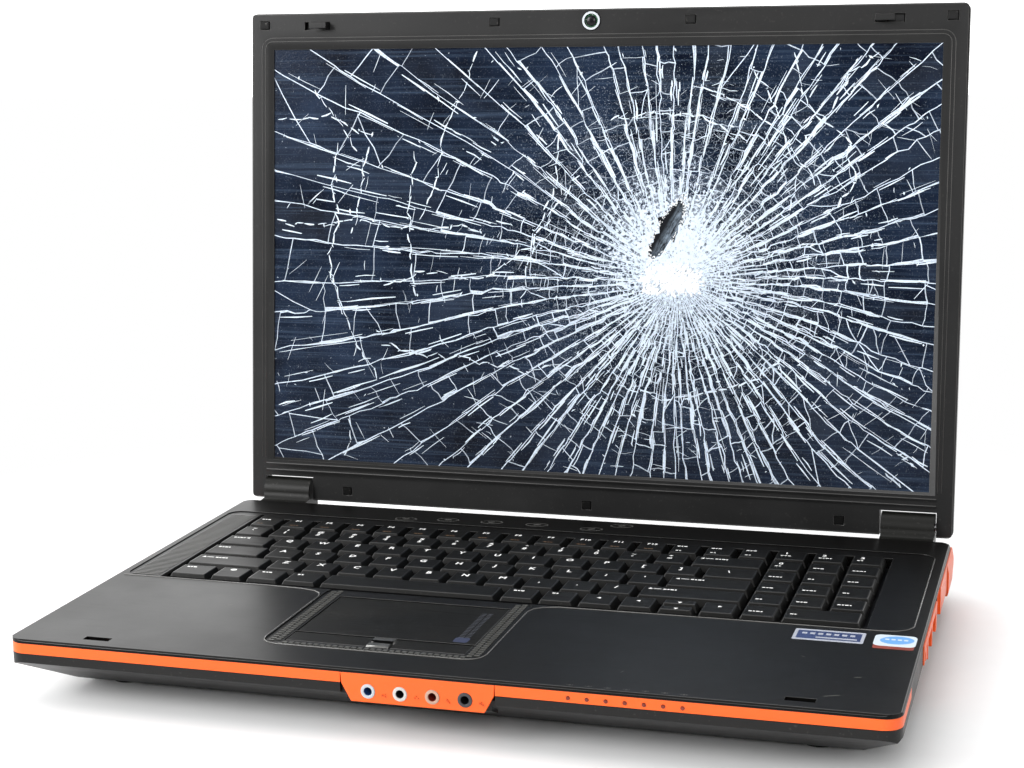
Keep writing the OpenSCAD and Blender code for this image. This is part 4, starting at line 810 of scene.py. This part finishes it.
placed("camera_lens", outward(pupil), [lens_black], "lid")

# The screen's glass has been struck right of its middle. Cracks run out from the blow to every
# edge and are joined by rings, so the pane is some thousands of shards held by the film behind.
# It is made as it broke: a disc is split along spokes, then across, then trimmed to the window.
# The pane runs a little under the frame on all sides: left, low, right and high.
PANE = (-187.2, 19.6, 187.2, 256.3)
BLOW = Vector((48.5, 129.75)) * MM
GASH = Vector((43.0, 156.0)) * MM
GASH_TURN = math.radians(61)
GLASS_FACE = -2.46 * MM
PANE_T = 1.0 * MM
DISC_R = 0.36
chance = random.Random(41)
noise.seed_set(41)
# Spokes: from one angle to another with a step between, in degrees.
SPOKES = ((-24, 58, 4.4), (58, 84, 5.0), (84, 118, 4.6), (118, 160, 5.2), (160, 196, 5.0),
          (196, 232, 4.6), (232, 336, 4.2))


def heading(angle):
    """The direction at an angle on the pane."""
    return Vector((math.cos(angle), math.sin(angle), 0))


angles = []
for start, stop, step in SPOKES:
    angle = start
    while angle < stop - step * 0.4:
        angles.append(math.radians(angle + chance.uniform(-0.22, 0.22) * step))
        angle += step
pane = bmesh.new()
bmesh.ops.create_circle(pane, cap_ends=True, cap_tris=True, radius=DISC_R, segments=len(angles))
hub = min(pane.verts, key=lambda v: v.co.length)
rim = sorted((v for v in pane.verts if v is not hub), key=lambda v: math.atan2(v.co.y, v.co.x))
for corner, angle in zip(rim, sorted(math.atan2(math.sin(a), math.cos(a)) for a in angles)):
    corner.co = heading(angle) * DISC_R


def split(faces, point, across):
    """Cracks some faces along a straight line and returns the faces on both sides."""
    geom = list(dict.fromkeys(part for f in faces for part in (f, *f.edges, *f.verts)))
    cut = bmesh.ops.bisect_plane(pane, geom=geom, plane_co=point, plane_no=across, dist=1e-7)
    return [f for f in cut["geom"] if isinstance(f, bmesh.types.BMFace)]


# Rings: closer together near the blow, and missing here and there further out.
rings = []
reach = 3.2 * MM
while reach < 0.3:
    rings.append(reach)
    reach *= 1.125 if reach < 0.05 else 1.14
for wedge in pane.faces[:]:
    middle = wedge.calc_center_median()
    way = math.atan2(middle.y, middle.x)
    sparse = 0.5 + 0.5 * math.cos(way - math.radians(168))
    outer = wedge
    for reach in rings:
        if reach > 0.028 and chance.random() < 0.16 + 0.36 * sparse:
            continue
        jog = 1 + 0.055 * noise.noise(Vector((way * 3, reach * 30, 3)))
        jog += chance.uniform(-0.03, 0.03)
        across = heading(way + math.radians(chance.uniform(-13, 13)))
        sides = split([outer], heading(way) * reach * jog, across)
        outer = max(sides, key=lambda f: f.calc_center_median().length)

# Beside many spokes a thin sliver has split off, and some shards are split again at a slant.
frost = pane.faces.layers.float.new("frost")
for shard in pane.faces[:]:
    middle = shard.calc_center_median()
    far = middle.length
    if far < 0.012 or far > 0.27:
        continue
    along = middle.normalized()
    side = Vector((-along.y, along.x, 0)) * chance.choice((-1, 1))
    half = max((v.co - middle).dot(side) for v in shard.verts)
    if chance.random() < 0.62:
        width = min(half * 0.45, chance.uniform(0.35, 1.5) * MM)
        lean = Matrix.Rotation(math.radians(chance.uniform(-1.6, 1.6)), 3, "Z")
        for part in split([shard], middle + side * (half - width), lean @ side):
            if (part.calc_center_median() - middle).dot(side) > half - width * 1.5 and \
                    part.calc_area() < shard.calc_area() * 2 and chance.random() < 0.7:
                part[frost] = chance.uniform(0.5, 1.0)
    elif chance.random() < 0.4:
        slant = math.atan2(along.y, along.x) + math.radians(chance.uniform(25, 70))
        split([shard], middle, heading(slant))

# The cracks wander: each long edge gets corners, and all of it sways a little.
def sway(point, fine, size, grown):
    """How far noise of one fineness moves a point, growing to its full size at a distance."""
    moved = noise.noise_vector(point * fine) * (size * min(1.0, point.length / grown))
    return Vector((moved.x, moved.y, 0))


SLOW, JAGGED = (9.0, 9 * MM, 0.12), (190.0, 1.5 * MM, 0.03)
long_edges = [e for e in pane.edges if e.calc_length() > 5 * MM]
bmesh.ops.bisect_edges(pane, edges=long_edges, cuts=2)
for corner in pane.verts:
    corner.co += sway(corner.co, *SLOW) + sway(corner.co, *JAGGED)
bmesh.ops.translate(pane, verts=pane.verts, vec=(BLOW.x, BLOW.y, 0))
for point, way in (((PANE[0], 0), (-1, 0)), ((PANE[2], 0), (1, 0)), ((0, PANE[1]), (0, -1)),
                   ((0, PANE[3]), (0, 1))):
    bmesh.ops.bisect_plane(pane, geom=pane.verts[:] + pane.edges[:] + pane.faces[:],
                           plane_co=(point[0] * MM, point[1] * MM, 0), plane_no=(*way, 0),
                           clear_outer=True)

# Each shard shrinks from its neighbours and tips a little; the crushed edge between is white.
frost = pane.faces.layers.float["frost"]
HOLE_WIDE, HOLE_TALL, HOLE_SLOPE = 3.4 * MM, 15 * MM, 0.56


def in_gash(face):
    """Whether a shard lies in the leaning leaf that has fallen out."""
    middle = face.calc_center_median()
    across, high = middle.x - GASH.x, middle.y - GASH.y
    return ((across - high * HOLE_SLOPE) / HOLE_WIDE) ** 2 + (high / HOLE_TALL) ** 2 < 1


bmesh.ops.delete(pane, geom=[f for f in pane.faces if in_gash(f)], context="FACES_ONLY")
for shard in pane.faces[:]:
    size = math.sqrt(shard.calc_area())
    middle = shard.calc_center_median()
    far = Vector((middle.x - BLOW.x, (middle.y - BLOW.y - 12 * MM) * 0.8)).length
    edge = min(0.16 * size, chance.uniform(0.12, 0.34) * MM)
    whole = shard[frost]
    blunt = min(loop.calc_angle() for loop in shard.loops) > math.radians(28)
    rims = bmesh.ops.inset_individual(pane, faces=[shard], thickness=edge, use_even_offset=blunt)
    for strip in rims["faces"]:
        spot = strip.calc_center_median()
        outwards = Vector((spot.x - BLOW.x, spot.y - BLOW.y, 0)).normalized()
        longest = max(strip.edges, key=lambda e: e.calc_length())
        run = (longest.verts[1].co - longest.verts[0].co).normalized()
        radial = abs(run.dot(outwards))
        faint = 0.35 + 0.5 * noise.noise(spot * 60.0)
        strip[frost] = 0.95 if radial > 0.8 else min(1.0, max(0.12, faint + 0.35))
    near = max(0.0, 1.0 - far / (44 * MM))
    powder = 0.5 * near ** 2 + chance.uniform(-0.3, 0.3) * near
    shard[frost] = max(whole, min(1.0, max(0.0, powder)), chance.uniform(-0.03, 0.012))
    tip_x, tip_y = chance.uniform(-0.002, 0.002), chance.uniform(-0.002, 0.002)
    for corner in shard.verts:
        corner.co.z = (corner.co.x - middle.x) * tip_x + (corner.co.y - middle.y) * tip_y
bmesh.ops.delete(pane, geom=[v for v in pane.verts if not v.link_faces], context="VERTS")
bmesh.ops.triangulate(pane, faces=[f for f in pane.faces if len(f.verts) > 4])
bmesh.ops.recalc_face_normals(pane, faces=pane.faces)
if sum(f.normal.z for f in pane.faces) < 0:
    bmesh.ops.reverse_faces(pane, faces=pane.faces)
border = [e for e in pane.edges if e.is_boundary]
walls = bmesh.ops.extrude_edge_only(pane, edges=border)["geom"]
for corner in [v for v in walls if isinstance(v, bmesh.types.BMVert)]:
    corner.co.z = -PANE_T
bmesh.ops.translate(pane, verts=pane.verts, vec=(0, 0, GLASS_FACE))
bmesh.ops.transform(pane, verts=pane.verts, matrix=ON_LID)


def larger(add, first, second):
    return add("Math", operation="MAXIMUM", i0=first, i1=second).outputs[0]


navy, shader, add, feed = finish("cracked screen glass")
place = add("TexCoord").outputs["Object"]
streaks = add("TexNoise", Scale=1.0, Detail=5.0, Roughness=0.7,
              Vector=add("Mapping", Vector=place, Rotation=(0, 0.16, 0),
                         Scale=(9, 40, 560)).outputs[0])
clouds = add("TexNoise", Vector=place, Scale=24.0, Detail=5.0, Roughness=0.6)
blow_at = ON_LID @ Vector((BLOW.x - 3 * MM, BLOW.y + 17 * MM, GLASS_FACE))
away = add("VectorMath", operation="DISTANCE", i0=place, i1=tuple(blow_at)).outputs["Value"]
dark = blended(add, ramp(add, clouds.outputs[0], 0.35, 0.75), (0.0022, 0.0042, 0.0110, 1),
               (0.0150, 0.0270, 0.0560, 1))
dark = blended(add, ramp(add, streaks.outputs[0], 0.50, 0.74, 0.0, 0.75), dark,
               (0.052, 0.082, 0.135, 1))
webs = add("TexVoronoi", feature="DISTANCE_TO_EDGE", Scale=210.0,
           Vector=add("VectorMath", operation="ADD", i0=place, i1=add(
               "VectorMath", operation="SCALE", i0=add("TexNoise", Vector=place, Scale=160.0,
                                                       Detail=2.0).outputs["Color"],
               Scale=0.006).outputs[0]).outputs[0])
hairs = product(add, ramp(add, webs.outputs["Distance"], 0.03, 0.0),
                ramp(add, away, 0.095, 0.02, 0.0, 0.75))
dust = add("TexNoise", Vector=place, Scale=1300.0, Detail=2.0)
grit = product(add, ramp(add, dust.outputs[0], 0.60, 0.68), ramp(add, away, 0.12, 0.01, 0.05, 0.7))
white = add("Attribute", attribute_name="frost").outputs["Fac"]
grain = add("TexNoise", Vector=place, Scale=900.0, Detail=3.0)
crushed = product(add, ramp(add, white, 0.0, 0.9),
                  ramp(add, grain.outputs[0], 0.30, 0.50, 0.6, 1.0))
mottle = add("TexNoise", Vector=place, Scale=620.0, Detail=3.0, Roughness=0.6)
flecked = ramp(add, add("Math", operation="ADD", i0=mottle.outputs[0],
                        i1=ramp(add, away, 0.058, 0.012, 0.0, 0.36)).outputs[0], 0.70, 0.82)
share = larger(add, larger(add, crushed, flecked), larger(add, hairs, grit))
feed("Base Color", blended(add, share, dark, (0.72, 0.82, 0.95, 1)))
feed("Roughness", ramp(add, share, 0.0, 0.6, 0.16, 0.6))
feed("Normal", add("Bump", Strength=0.25, Distance=0.0002, Height=grain.outputs[0]).outputs[0])
shader.inputs["Specular IOR Level"].default_value = 0.16
glass = placed("cracked_glass_shards", pane, [navy], "lid")
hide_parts("cracked_glass")

# Long thin splinters lie along the spokes and across them, where the cracks braid and fork.
# They are made a few at a time, which is quicker, and then poured into one mesh.
needles, few = bmesh.new(), bmesh.new()


def swayed(point):
    """Where a point of the unbroken disc has moved to, with the sway of the cracks."""
    moved = sway(point, *SLOW)
    return Vector((point.x + moved.x + BLOW.x, point.y + moved.y + BLOW.y, 0))


def on_pane(point, margin):
    """Whether a point lies on the pane, with a margin in millimetres."""
    return (PANE[0] + margin < point.x / MM < PANE[2] - margin and
            PANE[1] + margin < point.y / MM < PANE[3] - margin)


def flake(place, corners, thick):
    """A flat flake with a few corners, at its place on the pane."""
    rim = bmesh.ops.create_circle(few, cap_ends=True, radius=1, segments=corners,
                                  matrix=place)["verts"]
    lift(few, rim[0].link_faces[:1], thick)


def sliver(first, last, width):
    """A flat white sliver between two points, pointed at both ends, kept inside the pane."""
    if not (on_pane(first, 3) and on_pane(last, 3)):
        return
    run = last - first
    flat = (Matrix.Translation((first + last) / 2 + Vector((0, 0, GLASS_FACE + 0.02 * MM)))
            @ Matrix.Rotation(math.atan2(run.y, run.x), 4, "Z")
            @ Matrix.Diagonal((run.length / 2, width / 2, 1, 1)))
    flake(flat, 6, 0.04 * MM)


def chip(middle, size):
    """A small three or four cornered flake that lies on the pane."""
    if not on_pane(middle, 4):
        return
    flat = (Matrix.Translation((middle.x, middle.y, GLASS_FACE + 0.02 * MM))
            @ Matrix.Rotation(chance.uniform(0, math.tau), 4, "Z")
            @ Matrix.Diagonal((size * chance.uniform(0.7, 1.6),
                               size * chance.uniform(0.25, 0.6), 1, 1)))
    flake(flat, chance.choice((3, 4)), 0.05 * MM)


for angle in angles:
    reach = chance.uniform(20, 34) * MM
    while reach < 0.27:
        length = chance.uniform(7, 30) * MM * (0.6 + reach / 0.2)
        for strand in range(chance.choice((1, 2, 2, 3))):
            off = chance.gauss(0, 0.45 + reach * 9) * MM
            slip = chance.uniform(-0.3, 0.3) * length
            way = angle + chance.gauss(0, 0.012)
            along = heading(angle)
            aside = Vector((-along.y, along.x, 0)) * off
            start = along * (reach + slip) + aside
            end = start + heading(way) * length * chance.uniform(0.5, 1)
            sliver(swayed(start), swayed(end), chance.uniform(0.25, 0.95) * MM)
            if chance.random() < 0.55:
                chip(swayed(along * (reach + slip + length * chance.uniform(0, 0.8)) + aside),
                     chance.uniform(0.4, 1.3) * MM)
        reach += length * chance.uniform(0.6, 1.0)
    poured(needles, few)
CROSS_SLIVERS, BATCH = 1000, 50
for count in range(CROSS_SLIVERS):
    way = chance.uniform(0, math.tau)
    reach = (14 + 230 * chance.random() ** 1.2) * MM
    start = heading(way) * reach
    turned = way + math.radians(90 + chance.gauss(0, 22))
    length = chance.uniform(2.5, 7 + reach * 60) * MM
    end = start + heading(turned) * length
    sliver(swayed(start), swayed(end), chance.uniform(0.12, 0.42) * MM)
    if (count + 1) % BATCH == 0:
        poured(needles, few)

# Free cracks wander across the spokes, most of them on the quiet side of the pane, dotted with
# flakes. Each is a route in millimetres on the lid.
WANDERING = [
    [(-146, 202), (-148, 178), (-146, 158), (-151, 138), (-143, 108)],
    [(-18, 210), (-20, 178), (-33, 148), (-58, 128), (-92, 130), (-118, 122)],
    [(-127, 200), (-132, 176), (-136, 150)],
    [(-101, 198), (-102, 172), (-104, 140), (-99, 118)],
    [(-65, 252), (-80, 214), (-90, 176), (-96, 160)],
    [(-6, 184), (-30, 152), (-38, 112)],
    [(-152, 130), (-138, 98), (-122, 70)],
    [(-184, 158), (-160, 156), (-132, 158), (-104, 154), (-62, 156)],
    [(-182, 214), (-150, 216), (-128, 208)],
    [(-140, 46), (-138, 34), (-141, 25)],
    [(-120, 90), (-86, 84), (-40, 78), (-8, 82)],
    [(-160, 232), (-140, 206), (-134, 196)],
    [(108, 250), (116, 222), (136, 206), (142, 182), (128, 166)],
    [(88, 240), (104, 214), (112, 190), (106, 168)],
    [(152, 250), (132, 228), (120, 206), (100, 192)],
    [(60, 232), (84, 222), (108, 204), (122, 180)],
    [(10, 214), (36, 218), (62, 216), (86, 204)],
    [(16, 72), (48, 66), (84, 74), (108, 90)],
]
for route in WANDERING:
    points = [Vector(route[0])]
    for spot in route[1:]:
        gap = Vector(spot) - points[-1]
        steps = max(2, round(gap.length / 6))
        start = points[-1]
        for step in range(1, steps + 1):
            points.append(start + gap * step / steps
                          + Vector((chance.gauss(0, 0.9), chance.gauss(0, 0.9))))
    for first, last in zip(points, points[1:]):
        aside = Vector((chance.gauss(0, 0.35), chance.gauss(0, 0.35)))
        sliver((first + aside).to_3d() * MM, (last + aside * 2).to_3d() * MM,
               chance.uniform(0.4, 1.1) * MM)
        if chance.random() < 0.6:
            chip(last.to_3d() * MM, chance.uniform(0.4, 1.2) * MM)
    poured(needles, few)
few.free()
for corner in needles.verts:
    bend = noise.noise_vector(Vector((corner.co.x, corner.co.y, 0)) * 260.0) * 0.8 * MM
    corner.co += Vector((bend.x, bend.y, 0))
bmesh.ops.recalc_face_normals(needles, faces=needles.faces)
bmesh.ops.transform(needles, verts=needles.verts, matrix=ON_LID)
splinter_white = moulded("splintered glass", (0.74, 0.84, 0.95, 1), gloss=0.45, specular=0.4,
                         rubbed=0.8, dust=0.0, grain=0.2)
placed("glass_splinters", needles, [splinter_white], "lid")

# Above the blow a piece has fallen out, and the torn film behind it hangs in fibres, painted grey
# on one side of the hole as painted light and left dark on the other. Flakes stand round its edge.
film, shader, add, feed = finish("torn film painted lit on one side")
place = add("TexCoord").outputs["Object"]
along = (ON_LID.to_3x3() @ Vector((math.cos(GASH_TURN), math.sin(GASH_TURN), 0))).normalized()
aside = (ON_LID.to_3x3() @ Vector((-math.sin(GASH_TURN), math.cos(GASH_TURN), 0))).normalized()
length_way = add("VectorMath", operation="DOT_PRODUCT", i0=place, i1=tuple(along)).outputs["Value"]
cross_way = add("VectorMath", operation="DOT_PRODUCT", i0=place, i1=tuple(aside)).outputs["Value"]
fibre = add("TexNoise", Scale=1.0, Detail=4.0, Roughness=0.7, Vector=add(
    "CombineXYZ", X=product(add, length_way, 170.0), Y=product(add, cross_way, 720.0)).outputs[0])
centre_line = (ON_LID @ GASH.to_3d()).dot(aside)
lit_side = ramp(add, cross_way, centre_line + 0.0022, centre_line - 0.0014, 0.0, 1.0)
feed("Base Color", blended(add, product(add, lit_side, ramp(add, fibre.outputs[0], 0.40, 0.66)),
                           (0.0030, 0.0042, 0.0070, 1), (0.24, 0.30, 0.37, 1)))
feed("Roughness", ramp(add, fibre.outputs[0], 0.3, 0.7, 0.5, 0.75))
feed("Normal", add("Bump", Strength=0.3, Distance=0.0003, Height=fibre.outputs[0]).outputs[0])
shader.inputs["Specular IOR Level"].default_value = 0.15
LEAF_LONG, LEAF_WIDE = 17.5, 5.2
torn = bmesh.new()
flat = (Matrix.Translation((GASH.x, GASH.y, GLASS_FACE + 0.05 * MM))
        @ Matrix.Rotation(GASH_TURN, 4, "Z")
        @ Matrix.Diagonal((LEAF_LONG * MM, LEAF_WIDE * MM, 1, 1)))
rim = bmesh.ops.create_circle(torn, cap_ends=True, radius=1, segments=46, matrix=flat)["verts"]
for corner in rim:
    corner.co.x += chance.gauss(0, 0.95) * MM
    corner.co.y += chance.gauss(0, 0.95) * MM
lift(torn, rim[0].link_faces[:1], 0.05 * MM)
bmesh.ops.transform(torn, verts=torn.verts, matrix=ON_LID)
placed("torn_film", outward(torn), [film], "lid")

# At the blow the glass is powder: small white crumbs, stuck to the film in a heap below the
# hole, with a few round its edge.
CRUMBS, HEAPED = 1250, 900
crumbs, few = bmesh.new(), bmesh.new()
for count in range(CRUMBS):
    way = chance.uniform(0, math.tau)
    if count < HEAPED:
        far = 11.5 * math.sqrt(chance.random())
        far *= 1 + 0.42 * noise.noise(Vector((math.cos(way) * 2.2, math.sin(way) * 2.2, 5)))
        far += abs(chance.gauss(0, 1.6)) * (far > 8)
        across, high = 1.28 * far * math.cos(way) - 2.0, 0.62 * far * math.sin(way) - 0.5
        size = chance.uniform(0.6, 1.25)
    else:
        ring = chance.uniform(0.9, 1.25)
        leaf_x, leaf_y = LEAF_LONG * ring * math.cos(way), 5.0 * ring * math.sin(way)
        across = (GASH - BLOW).x / MM + leaf_x * math.cos(GASH_TURN) - leaf_y * math.sin(GASH_TURN)
        high = (GASH - BLOW).y / MM + leaf_x * math.sin(GASH_TURN) + leaf_y * math.cos(GASH_TURN)
        size = chance.uniform(0.25, 0.6)
    place = (Matrix.Translation((BLOW.x + across * MM, BLOW.y + high * MM,
                                 GLASS_FACE - 0.1 * MM + chance.uniform(0, 0.35) * MM))
             @ Matrix.Rotation(way, 4, "Z") @ Matrix.Rotation(chance.uniform(-1, 1), 4, "X")
             @ Matrix.Diagonal((size * MM, size * 0.7 * MM, size * 0.4 * MM, 1)))
    bmesh.ops.create_icosphere(few, subdivisions=1, radius=1.0, matrix=ON_LID @ place)
    if (count + 1) % BATCH == 0:
        poured(crumbs, few)
few.free()
crumb_white = moulded("crushed glass", (0.95, 0.97, 0.99, 1), gloss=0.5, specular=0.5, rubbed=0.95,
                      dust=0.0, grain=0.3)
placed("crushed_glass", crumbs, [crumb_white], "lid")

# The place where it stands: a plain white paper floor, which keeps the shadow and goes to plain
# white further off, and plain soft light.
floor_mesh = bmesh.new()
bmesh.ops.create_grid(floor_mesh, x_segments=2, y_segments=2, size=6.0)
floor_data = bpy.data.meshes.new("floor")
floor_mesh.to_mesh(floor_data)
floor_mesh.free()
floor = bpy.data.objects.new("floor", floor_data)
bpy.context.scene.collection.objects.link(floor)
paper, shader, add, feed = finish("white paper floor")
place = add("TexCoord").outputs["Object"]
fibres = add("TexNoise", Vector=place, Scale=60.0, Detail=3.0)
feed("Base Color", blended(add, fibres.outputs[0], (0.84, 0.84, 0.84, 1), (0.88, 0.88, 0.88, 1)))
shader.inputs["Roughness"].default_value = 0.9
shader.inputs["Specular IOR Level"].default_value = 0.1
far_off = ramp(add, add("VectorMath", operation="LENGTH", i0=place).outputs["Value"], 0.20, 0.50)
ray = add("LightPath").outputs
looked_at = larger(add, ray["Is Camera Ray"], ray["Is Glossy Ray"])
plain_white = add("Emission", Color=(1, 1, 1, 1), Strength=1.0)
mixed = add("MixShader", i0=product(add, far_off, looked_at), i1=shader.outputs[0],
            i2=plain_white.outputs[0])
paper.node_tree.links.new(mixed.outputs[0], paper.node_tree.nodes["Material Output"].inputs[0])
floor_data.materials.append(paper)

world = bpy.data.worlds.new("studio")
bpy.context.scene.world = world
world.use_nodes = True
air = node_maker(world.node_tree)

# The room is bright behind and to the left of the laptop and dim in front of it.
PALE_SIDE = Vector((-0.75, 0.62, 0.22)).normalized()
look = air("TexCoord").outputs["Generated"]
facing = air("VectorMath", operation="DOT_PRODUCT", i0=look, i1=tuple(PALE_SIDE)).outputs["Value"]
room = air("MapRange", Value=facing, From_Min=-0.35, From_Max=0.75, To_Min=0.16, To_Max=2.5)
seen = air("LightPath").outputs["Is Camera Ray"]
strength = larger(air, room.outputs[0], seen)
world.node_tree.links.new(strength, world.node_tree.nodes["Background"].inputs["Strength"])
world.node_tree.nodes["Background"].inputs["Color"].default_value = (1, 1, 1, 1)


def softbox(name, at, aim, size, power):
    """A square studio lamp at a place, turned to a point."""
    lamp = bpy.data.lights.new(name, "AREA")
    lamp.shape = "SQUARE"
    lamp.size = size
    lamp.energy = power
    holder = bpy.data.objects.new(name, lamp)
    turn = (Vector(aim) - Vector(at)).to_track_quat("-Z", "Y").to_matrix().to_4x4()
    holder.matrix_world = Matrix.Translation(at) @ turn
    bpy.context.scene.collection.objects.link(holder)


softbox("left_softbox", (-1.25, -1.25, 1.0), (-0.05, 0.05, 0.16), 0.9, 26)
softbox("front_softbox", (0.55, -1.7, 0.95), (0.05, 0.1, 0.12), 0.7, 9)
softbox("top_softbox", (-0.3, 0.5, 1.9), (0, 0, 0.0), 1.4, 9)

# The camera at the height and turn from which the laptop is usually seen on a desk.
yaw, pitch, roll = (math.radians(a) for a in (17.1049, 10.6374, -0.9474))
ahead = Vector((-math.sin(yaw) * math.cos(pitch), math.cos(yaw) * math.cos(pitch),
                -math.sin(pitch)))
level = Vector((math.cos(yaw), math.sin(yaw), 0))
upright = level.cross(ahead)
right = level * math.cos(roll) + upright * math.sin(roll)
up = upright * math.cos(roll) - level * math.sin(roll)
view = bpy.data.cameras.new("camera")
view.lens = 68.164
view.sensor_width = 36
view.shift_x = 0.00962
view.shift_y = -0.00664
view.clip_start = 0.01
camera = bpy.data.objects.new("camera", view)
turn = Matrix((right, up, -ahead)).transposed().to_4x4()
camera.matrix_world = Matrix.Translation((0.26145, -0.88017, 0.30120)) @ turn
bpy.context.scene.collection.objects.link(camera)
bpy.context.scene.camera = camera
bpy.context.scene.view_settings.view_transform = "Standard"
